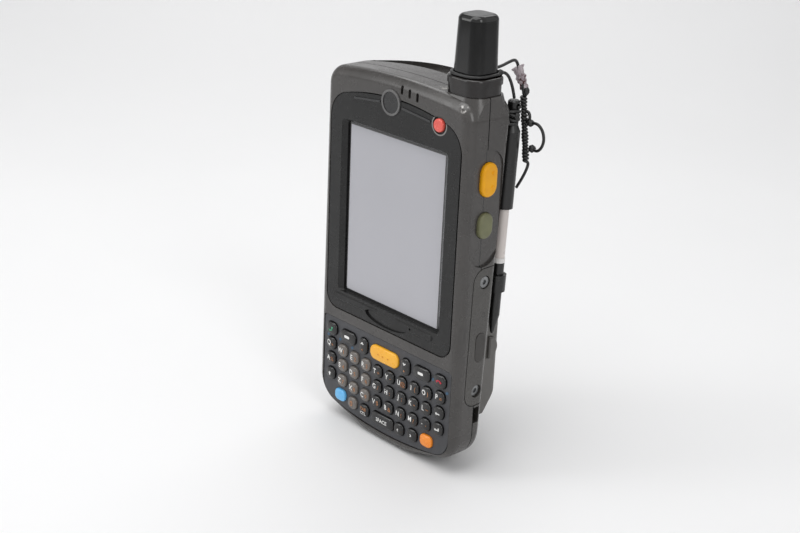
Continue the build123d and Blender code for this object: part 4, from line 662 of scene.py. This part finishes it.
flag = add_piece("tether_tape", joined_mesh("tether_tape", tape_flag()), "casing", "tape_flag", tape)
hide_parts("tether_flag")

loop_mesh = joined_mesh(
    "tether_side_loop",
    tube(centreline(LOOP), CORD_RADIUS), ball(LOOP[0], 0.0015, (1, 1, 0.9)), ball(LOOP[-1], 0.00145),
    tube(centreline(INNER_LOOP), CORD_RADIUS), ball(CURL_KNOT, 0.0014, (1.1, 0.9, 1.4)))
loop = add_piece("tether_side_loop", loop_mesh, "casing", "tether_cord", cord_skin)
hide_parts("tether_loop")

spare_curve = nurbs("tether_spare", spare_points, CORD_DIAMETER)
spare = add_piece("tether_spare", spare_curve, "casing", "tether_cord", cord_skin)
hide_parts("tether_cord", "tether_coil")

knot_mesh = joined_mesh("tether_noose_knot", ball(NOOSE_KNOT, 0.0013, (1, 1.15, 0.9)))
knot = add_piece("tether_noose_knot", knot_mesh, "casing", "tether_cord", cord_skin)
turns_mesh = joined_mesh(
    "tether_neck_turns", tube(neck_turns(), CORD_RADIUS), ball(NECK_KNOT, 0.0012, (1, 1, 1.3)))
turns = add_piece("tether_neck_turns", turns_mesh, "stylus", "tether_cord", cord_skin)

lead_mesh = joined_mesh("tether_lead_cord", tube(lead_line, CORD_RADIUS))
lead = add_piece("tether_lead_cord", lead_mesh, None, "tether_cord", cord_skin)
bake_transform(lead)
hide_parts("tether_lead")


# ---- hand strap ----

STRAP_WIDTH = 0.025
STRAP_THICKNESS = 1.9 * MM
STRAP_CROWN = 0.15 * MM
# Side profile as Y and Z: a turn round the clip's bar, the bow behind the battery and a turn round the
# upper bar.
CLIP_BAR, CLIP_TURN = (0.0176, 0.0070), 0.00265
UPPER_BAR, UPPER_TURN = (0.0258, 0.1034), 0.00285
STRAP_BOW = [
    (0.0300, 0.0182), (0.0376, 0.0332), (0.0408, 0.0482), (0.0410, 0.0642), (0.0408, 0.0802),
    (0.0350, 0.0907)]


def arc_about(centre, radius, start, end, steps):
    """Points on a circle in the Y-Z plane, between two angles in degrees."""
    a = np.radians(np.linspace(start, end, steps))
    return [(centre[0] + radius * np.cos(t), centre[1] + radius * np.sin(t)) for t in a]


def strap_band():
    """Woven strap: a strip carried along its side profile from one bar to the other; across it, the middle is
    raised by crown (1 - (x / half width)^2)."""
    half = STRAP_WIDTH / 2
    turn_low = arc_about(CLIP_BAR, CLIP_TURN, 250, -60, 10)
    turn_high = arc_about(UPPER_BAR, UPPER_TURN, 60, 270, 8)
    profile = np.array([(0.0, y, z) for y, z in turn_low + STRAP_BOW + turn_high])
    line = resample(centreline(profile), 150)
    out = np.cross(unit(np.gradient(line, axis=0)), (1, 0, 0))
    x = np.linspace(-half, half, 26)
    crown = STRAP_CROWN * (1 - (x / half) ** 2)
    points = line[:, None] + out[:, None] * crown[None, :, None]
    points[..., 0] += x[None, :]
    data = mesh_from("strap_webbing", points.reshape(-1, 3), grid_faces(len(line), len(x), False))
    run = run_along(line)
    corner = np.empty(len(data.loops), np.int32)
    data.loops.foreach_get("vertex_index", corner)
    uv = np.stack([run[corner // len(x)], x[corner % len(x)]], 1)
    data.uv_layers.new(name="weave").data.foreach_set("uv", uv.ravel())
    return data, float(run[-1])


strap_data, strap_length = strap_band()
strap = add_piece("strap_webbing", strap_data, "casing", "strap_webbing", webbing)
wall = strap.modifiers.new("thickness", "SOLIDIFY")
wall.thickness = STRAP_THICKNESS
wall.offset = 0
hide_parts("hand_strap")


# ---- light and floor ----

AMBIENT = 0.40                  # strength of the surroundings as light
SWEEP_FRONT = -1.6              # the floor's near edge, along the line of sight
SWEEP_FLAT = 0.45               # the floor is flat this far behind the object
SWEEP_RADIUS = 0.6
SWEEP_HALF_WIDTH = 2.5
WALL_TOP = 2.2


def sky():
    """Even pale surroundings; the camera, reflections and clear pieces see plain white."""
    world = bpy.data.worlds.new("surroundings")
    bpy.context.scene.world = world
    world.use_nodes = True
    tree = world.node_tree
    tree.nodes.clear()
    path = add_node(tree, "ShaderNodeLightPath")
    direct = add_node(tree, "ShaderNodeMath", {
        0: path.outputs["Is Camera Ray"], 1: path.outputs["Is Glossy Ray"]}, operation="MAXIMUM")
    seen = add_node(tree, "ShaderNodeMath", {
        0: direct.outputs[0], 1: path.outputs["Is Transmission Ray"]}, operation="MAXIMUM")
    light = add_node(tree, "ShaderNodeBackground", {"Color": linear("#f4f4f6"), "Strength": AMBIENT})
    white = add_node(tree, "ShaderNodeBackground", {"Color": linear("#ececec"), "Strength": 1.0})
    mix = add_node(tree, "ShaderNodeMixShader", {
        0: seen.outputs[0], 1: light.outputs[0], 2: white.outputs[0]})
    add_node(tree, "ShaderNodeOutputWorld", {"Surface": mix.outputs[0]})


def softbox(name, place, aim, size, power):
    """A rectangular area lamp at a place, aimed at a point; its power is in watts."""
    data = bpy.data.lights.new(name, "AREA")
    data.shape = "RECTANGLE"
    data.size, data.size_y = size
    data.energy = power
    lamp = bpy.data.objects.new(name, data)
    bpy.context.scene.collection.objects.link(lamp)
    lamp.location = place
    lamp.rotation_euler = (Vector(aim) - Vector(place)).to_track_quat("-Z", "Y").to_euler()


def studio_floor():
    """A pale sweep: flat, then a quarter round up into a wall.  The profile lies along the line of sight and
    is carried across it."""
    ahead = np.array((-sin(VIEW_TURN), cos(VIEW_TURN), 0))
    right = np.array((cos(VIEW_TURN), sin(VIEW_TURN), 0))
    bend = np.linspace(0, pi / 2, 24)
    flat = np.linspace(SWEEP_FRONT, SWEEP_FLAT, 12)[:-1]
    out = np.concatenate([flat, SWEEP_FLAT + SWEEP_RADIUS * np.sin(bend), [SWEEP_FLAT + SWEEP_RADIUS]])
    high = np.concatenate([flat * 0, SWEEP_RADIUS * (1 - np.cos(bend)), [WALL_TOP]])
    across = np.linspace(-SWEEP_HALF_WIDTH, SWEEP_HALF_WIDTH, 3)
    points = out[:, None, None] * ahead + across[None, :, None] * right
    points = points + high[:, None, None] * np.array((0, 0, 1))
    data = mesh_from("studio_floor", points.reshape(-1, 3), grid_faces(len(out), len(across), False))
    floor = bpy.data.objects.new("studio_floor", data)
    bpy.context.scene.collection.objects.link(floor)
    # Matt painted board: the eye sees a clean pale ground.
    floor.data.materials.append(moulded("floor_matt_board", "#f0f0f0", "#f3f3f3", 0.9, (2.0, 10), 300))


sky()
studio_floor()
softbox("softbox_above", (-0.06, -0.24, 0.92), (0, 0, 0.08), (0.8, 0.8), 4.7)
softbox("softbox_behind", (-0.36, 0.50, 0.80), (0, 0, 0.10), (0.8, 0.4), 2.0)
softbox("softbox_right", (0.85, -0.25, 0.55), (0, 0, 0.09), (0.30, 0.7), 1.8)
softbox("softbox_left", (-0.55, -0.75, 0.5), (0, 0, 0.09), (0.28, 0.8), 1.8)


# ---- keys ----

KEY_FRONT = FRONT - 1.0 * MM    # Y of the top of a key
KEY_BACK = FRONT + 2.6 * MM     # Y of its foot
KEY_CROWN = 0.42 * MM           # how far a key's middle stands above its rim
KEY_ROUNDING = 0.55 * MM        # radius of the rim
RIM_BENDS = np.radians((22.5, 45, 67.5, 90))
CROWN_SHARES = (0.86, 0.7, 0.52, 0.34, 0.16, 0.001)    # rings of the crown, from the rim to the middle
PLATE_FRONT = FRONT + 0.4 * MM
INK_LIFT = 0.10 * MM            # print above what carries it

# Sizes and places in the front view, in millimetres.  A key is its middle as X and Z, its width, height and
# corner.
KEY_PITCH = 7.35
KEY_WIDTH, KEY_HEIGHT, KEY_CORNER = 5.5, 5.6, 2.3
ROW_HEIGHTS = (31.7, 24.75, 17.5, 10.2)
ROW_SAG = 0.0023
LETTERS = ("QWERTYUIOP", "ASDFGHJKL", "ZXCVBNM.")
SECOND_MARKS = ("*123+-@()=", "%456/:;\"~", "789$&!?,")
FIRST_COLUMNS = (0, 0, 1)
GREY_COLUMNS = (1, 2, 3)
PLATE_SIGNS = ((-28.1, 37.6), (-20.4, 36.3), (-35.8, 37.4), (36.6, 37.2), (28.6, 40.3))

INKS = (ink_white, ink_orange, ink_green, ink_red, ink_amber)
WHITE, ORANGE, GREEN, RED, AMBER = range(len(INKS))


def row_key(row, x, width=KEY_WIDTH, height=KEY_HEIGHT, corner=KEY_CORNER):
    """A key in a row: the rows rise towards the sides with x squared."""
    return x, ROW_HEIGHTS[row] + ROW_SAG * x * x, width, height, corner


def column(index):
    """X of a column of the letter rows."""
    return (index - 4.5) * KEY_PITCH


KEYS = {
    "key_call": (-33.1, 41.1, 6.6, 5.8, 2.4),
    "key_soft_left": (-22.6, 40.6, 9.6, 5.6, 2.4),
    "key_up": (-12.9, 40.0, 5.2, 7.4, 2.5),
    "key_scan": (0.0, 40.0, 17.0, 6.6, 3.2),
    "key_down": (12.8, 40.0, 5.2, 7.4, 2.5),
    "key_soft_right": (22.4, 40.6, 9.6, 5.6, 2.4),
    "key_end": (32.8, 41.1, 6.6, 5.8, 2.4),
    "key_backspace": row_key(1, column(9)),
    "key_shift": row_key(2, column(0)),
    "key_enter": row_key(2, column(9)),
    "key_blue": row_key(3, -26.6, 6.6, 5.4),
    "key_zero": row_key(3, -18.6),
    "key_tab": row_key(3, -11.1, 5.8),
    "key_space": row_key(3, 0.5, 13.6),
    "key_left_symbol": row_key(3, 10.6, 5.6),
    "key_right_symbol": row_key(3, 18.5, 5.6),
    "key_orange": row_key(3, 26.6, 6.8, 5.4),
}
FINISHES = {"key_scan": key_yellow, "key_blue": key_blue, "key_orange": key_orange, "key_zero": key_light}
SLOT_OF = {key_dark: "dark_key", key_light: "light_key", key_yellow: "yellow_key", key_blue: "blue_key",
           key_orange: "orange_key"}


def key_crown(x, z, key):
    """Y of a key's top at points: a cushion, front + crown (1 - (1 - u^2)(1 - v^2)), with u and v from -1 to
    1 across it."""
    cx, cz, width, height, _ = key
    u = np.clip((x / MM - cx) / (width / 2), -1, 1)
    v = np.clip((z / MM - cz) / (height / 2), -1, 1)
    return KEY_FRONT + KEY_CROWN * (1 - (1 - u ** 2) * (1 - v ** 2))


def key_outline(key, inset, angles):
    """Rounded rectangle inset from the key's rim: corner centres plus (corner - inset) in each direction."""
    cx, cz, width, height, corner = key
    reach = corner - inset
    x = np.sign(np.round(np.cos(angles), 9)) * (width / 2 - corner) + reach * np.cos(angles)
    z = np.sign(np.round(np.sin(angles), 9)) * (height / 2 - corner) + reach * np.sin(angles)
    return (cx + x) * MM, (cz + z) * MM


def domed_key(key, paint):
    """A key cap on a grid of 40 directions by 13 rings: back, skirt, quarter-round rim, then the crown drawn
    in to the middle."""
    cx, cz = key[0] * MM, key[1] * MM
    angles = np.radians(np.arange(0, 360, 9.0))
    x, z = key_outline(key, 0, angles)
    back = np.full_like(x, KEY_BACK)
    skirt = [np.stack([x, back, z], 1), np.stack([x, key_crown(x, z, key) + KEY_ROUNDING, z], 1)]
    rim = []
    for bend in RIM_BENDS:
        x, z = key_outline(key, KEY_ROUNDING / MM * (1 - np.cos(bend)), angles)
        rim.append(np.stack([x, key_crown(x, z, key) + KEY_ROUNDING * (1 - np.sin(bend)), z], 1))
    crown = []
    for share in CROWN_SHARES:
        in_x, in_z = cx + (x - cx) * share, cz + (z - cz) * share
        crown.append(np.stack([in_x, key_crown(in_x, in_z, key), in_z], 1))
    rings = [np.stack([in_x, back, in_z], 1)] + skirt + rim + crown
    return np.concatenate(rings), grid_faces(len(rings), len(angles), True)[:, ::-1], paint


def on_surface(px, pz, key):
    """Points lifted off a key's crown, or off the keypad plate, by more than the crown rises between them."""
    depth = key_crown(px, pz, key) if key else np.full_like(px, PLATE_FRONT)
    return np.stack([px, depth - INK_LIFT, pz], 1)


def printed(words, size, x, z, key, ink, bold=0.02):
    """Printed characters of a size, centred at x, z and laid on a key; bold is their extra weight as a share
    of the size."""
    data = bpy.data.curves.new("words", "FONT")
    data.body = words
    data.size = size * MM
    data.offset = bold * size * MM
    data.resolution_u = 3
    data.align_x, data.align_y = "CENTER", "CENTER"
    holder = bpy.data.objects.new("words", data)
    mesh = bpy.data.meshes.new_from_object(holder)
    points = vertices_of(mesh)
    faces = [list(p.vertices) for p in mesh.polygons]
    middle = (points.max(0) + points.min(0)) / 2
    px, pz = points[:, 0] - middle[0] + x * MM, points[:, 1] - middle[1] + z * MM
    bpy.data.objects.remove(holder)
    bpy.data.curves.remove(data)
    bpy.data.meshes.remove(mesh)
    return on_surface(px, pz, key), faces, ink


def shape(outline, x, z, key, ink, turn=0.0):
    """A printed flat shape: an outline turned by degrees and moved to x, z, as one face."""
    points = np.asarray(outline, float)
    a = radians(turn)
    spun = points @ np.array(((cos(a), sin(a)), (-sin(a), cos(a))))
    px, pz = (spun[:, 0] + x) * MM, (spun[:, 1] + z) * MM
    return on_surface(px, pz, key), [list(range(len(points)))], ink


def pill_outline(width, height, steps=8):
    """A stadium: half circles of radius height / 2 at both ends."""
    a = np.linspace(-pi / 2, pi / 2, steps)
    reach = (width - height) / 2
    right = np.stack([reach + height / 2 * np.cos(a), height / 2 * np.sin(a)], 1)
    return np.vstack([right, -right])


def band(radius, thickness, start, end, steps=10):
    """Part of a ring between two angles in degrees."""
    a = np.radians(np.linspace(start, end, steps))
    arc = np.stack([np.cos(a), np.sin(a)], 1)
    return np.vstack([arc * (radius + thickness / 2), arc[::-1] * (radius - thickness / 2)])


EAR = ((-0.45, -0.42), (0.45, -0.42), (0.45, 0.42), (-0.45, 0.42))


def handset(x, z, key, ink, turn):
    """A telephone handset, turned by degrees: a bowed grip with a block at each end."""
    a = radians(turn)
    parts = [shape(band(1.25, 0.55, 215, 325), x, z + 0.6, key, ink)]
    parts += [shape(EAR, x + side * 1.05, z - 0.05, key, ink, side * 30) for side in (-1, 1)]
    turned = []
    for points, faces, _ in parts:
        px, pz = points[:, 0] / MM - x, points[:, 2] / MM - z
        tx, tz = px * cos(a) - pz * sin(a) + x, px * sin(a) + pz * cos(a) + z
        turned.append((on_surface(tx * MM, tz * MM, key), faces, ink))
    return turned


CHEVRON = ((-0.9, -0.35), (0, 0.55), (0.9, -0.35), (0.55, -0.7), (0, -0.12), (-0.55, -0.7))
ARROW = ((-1.3, 0), (-0.4, 0.75), (-0.4, 0.25), (1.2, 0.25), (1.2, -0.25), (-0.4, -0.25), (-0.4, -0.75))
RETURN_MARK = ((-1.3, -0.2), (-0.5, 0.5), (-0.5, 0.05), (0.8, 0.05), (0.8, 0.9), (1.3, 0.9), (1.3, -0.45),
               (-0.5, -0.45), (-0.5, -0.9))
UP_ARROW = ((0, 1.0), (0.85, 0.1), (0.35, 0.1), (0.35, -0.8), (-0.35, -0.8), (-0.35, 0.1), (-0.85, 0.1))
DROP = ((0, 0.55), (0.5, 0), (0, -0.55), (-0.5, 0))


def middle_of(name, rise=0.0):
    """X and Z of a key's middle, raised by a distance, and the key."""
    return KEYS[name][0], KEYS[name][1] + rise, KEYS[name]


def key_legends():
    """The legends of each key that stands alone."""
    legends = {
        "key_call": handset(*middle_of("key_call"), GREEN, 40),
        "key_end": handset(*middle_of("key_end"), RED, 180)}
    for name in ("key_soft_left", "key_soft_right"):
        legends[name] = [shape(pill_outline(3.2, 1.2), *middle_of(name, 0.2), WHITE)]
    x, z, key = middle_of("key_scan")
    dot = pill_outline(0.8, 0.75)
    legends["key_scan"] = [shape(dot, x + side * 3.0, z - 0.1, key, AMBER) for side in (-1, 0, 1)]
    x, z, key = middle_of("key_up", 1.5)
    legends["key_up"] = [shape(CHEVRON, x, z, key, WHITE), printed("<", 2.0, x, z - 3.0, key, ORANGE)]
    x, z, key = middle_of("key_down", 1.3)
    legends["key_down"] = [shape(CHEVRON, x, z, key, WHITE, 180), shape(DROP, x, z - 3.0, key, ORANGE)]
    legends["key_backspace"] = [shape(ARROW, *middle_of("key_backspace", -0.2), WHITE)]
    legends["key_enter"] = [shape(RETURN_MARK, *middle_of("key_enter"), WHITE)]
    legends["key_shift"] = [shape(UP_ARROW, *middle_of("key_shift"), WHITE)]
    legends["key_zero"] = [printed("0", 3.4, *middle_of("key_zero"), ORANGE)]
    legends["key_tab"] = [
        printed("TAB", 1.9, *middle_of("key_tab", 0.9), ORANGE),
        printed("CTL", 1.9, *middle_of("key_tab", -1.1), WHITE)]
    legends["key_space"] = [printed("SPACE", 2.3, *middle_of("key_space"), WHITE)]
    for name, turn in (("key_left_symbol", 90), ("key_right_symbol", -90)):
        legends[name] = [shape(np.array(CHEVRON) * 0.8, *middle_of(name), WHITE, turn)]
    return legends


def letter_row(row):
    """The caps of a row of letter keys with their finishes, and a letter and a second sign on each."""
    caps, legends = [], []
    for i, letter in enumerate(LETTERS[row]):
        index = FIRST_COLUMNS[row] + i
        key = row_key(row, column(index))
        caps.append((key, key_light if index in GREY_COLUMNS else key_dark))
        legends.append(printed(letter, 3.0, key[0] - 1.0, key[1] + 0.2, key, WHITE))
        legends.append(printed(SECOND_MARKS[row][i], 2.7, key[0] + 1.25, key[1] - 0.1, key, ORANGE, 0.0))
    return caps, legends


def key_set():
    """Each key node's caps, as keys with their finish, and its legends."""
    legends = key_legends()
    alone = {
        name: ([(key, FINISHES.get(name, key_dark))], legends.get(name, [])) for name, key in KEYS.items()}
    rows = {f"keys_letter_row_{row + 1}": letter_row(row) for row in range(len(LETTERS))}
    return alone | rows


for node, (caps, legends) in key_set().items():
    finishes = list(dict.fromkeys(finish for _, finish in caps))
    parts = [domed_key(key, finishes.index(finish)) for key, finish in caps]
    body = node + "_body"
    cap_mesh = joined_mesh(node + "_caps", *parts)
    cap = add_piece(node + "_caps", cap_mesh, body, SLOT_OF[finishes[0]], *finishes)
    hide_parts(node)
    if legends:
        legend_mesh = joined_mesh(node + "_legend", *legends, smooth=False)
        add_piece(node + "_legend", legend_mesh, body, "legend_ink", *INKS)

# Small signs printed on the plate beside the function keys, all in the piece's one ink.
signs = [shape(pill_outline(1.7, 1.2), x, z, None, 0, 35) for x, z in PLATE_SIGNS]
add_piece("plate_signs", joined_mesh("plate_signs", *signs, smooth=False), "casing", "legend_ink", ink_blue)

bpy.context.scene.view_settings.view_transform = "Standard"
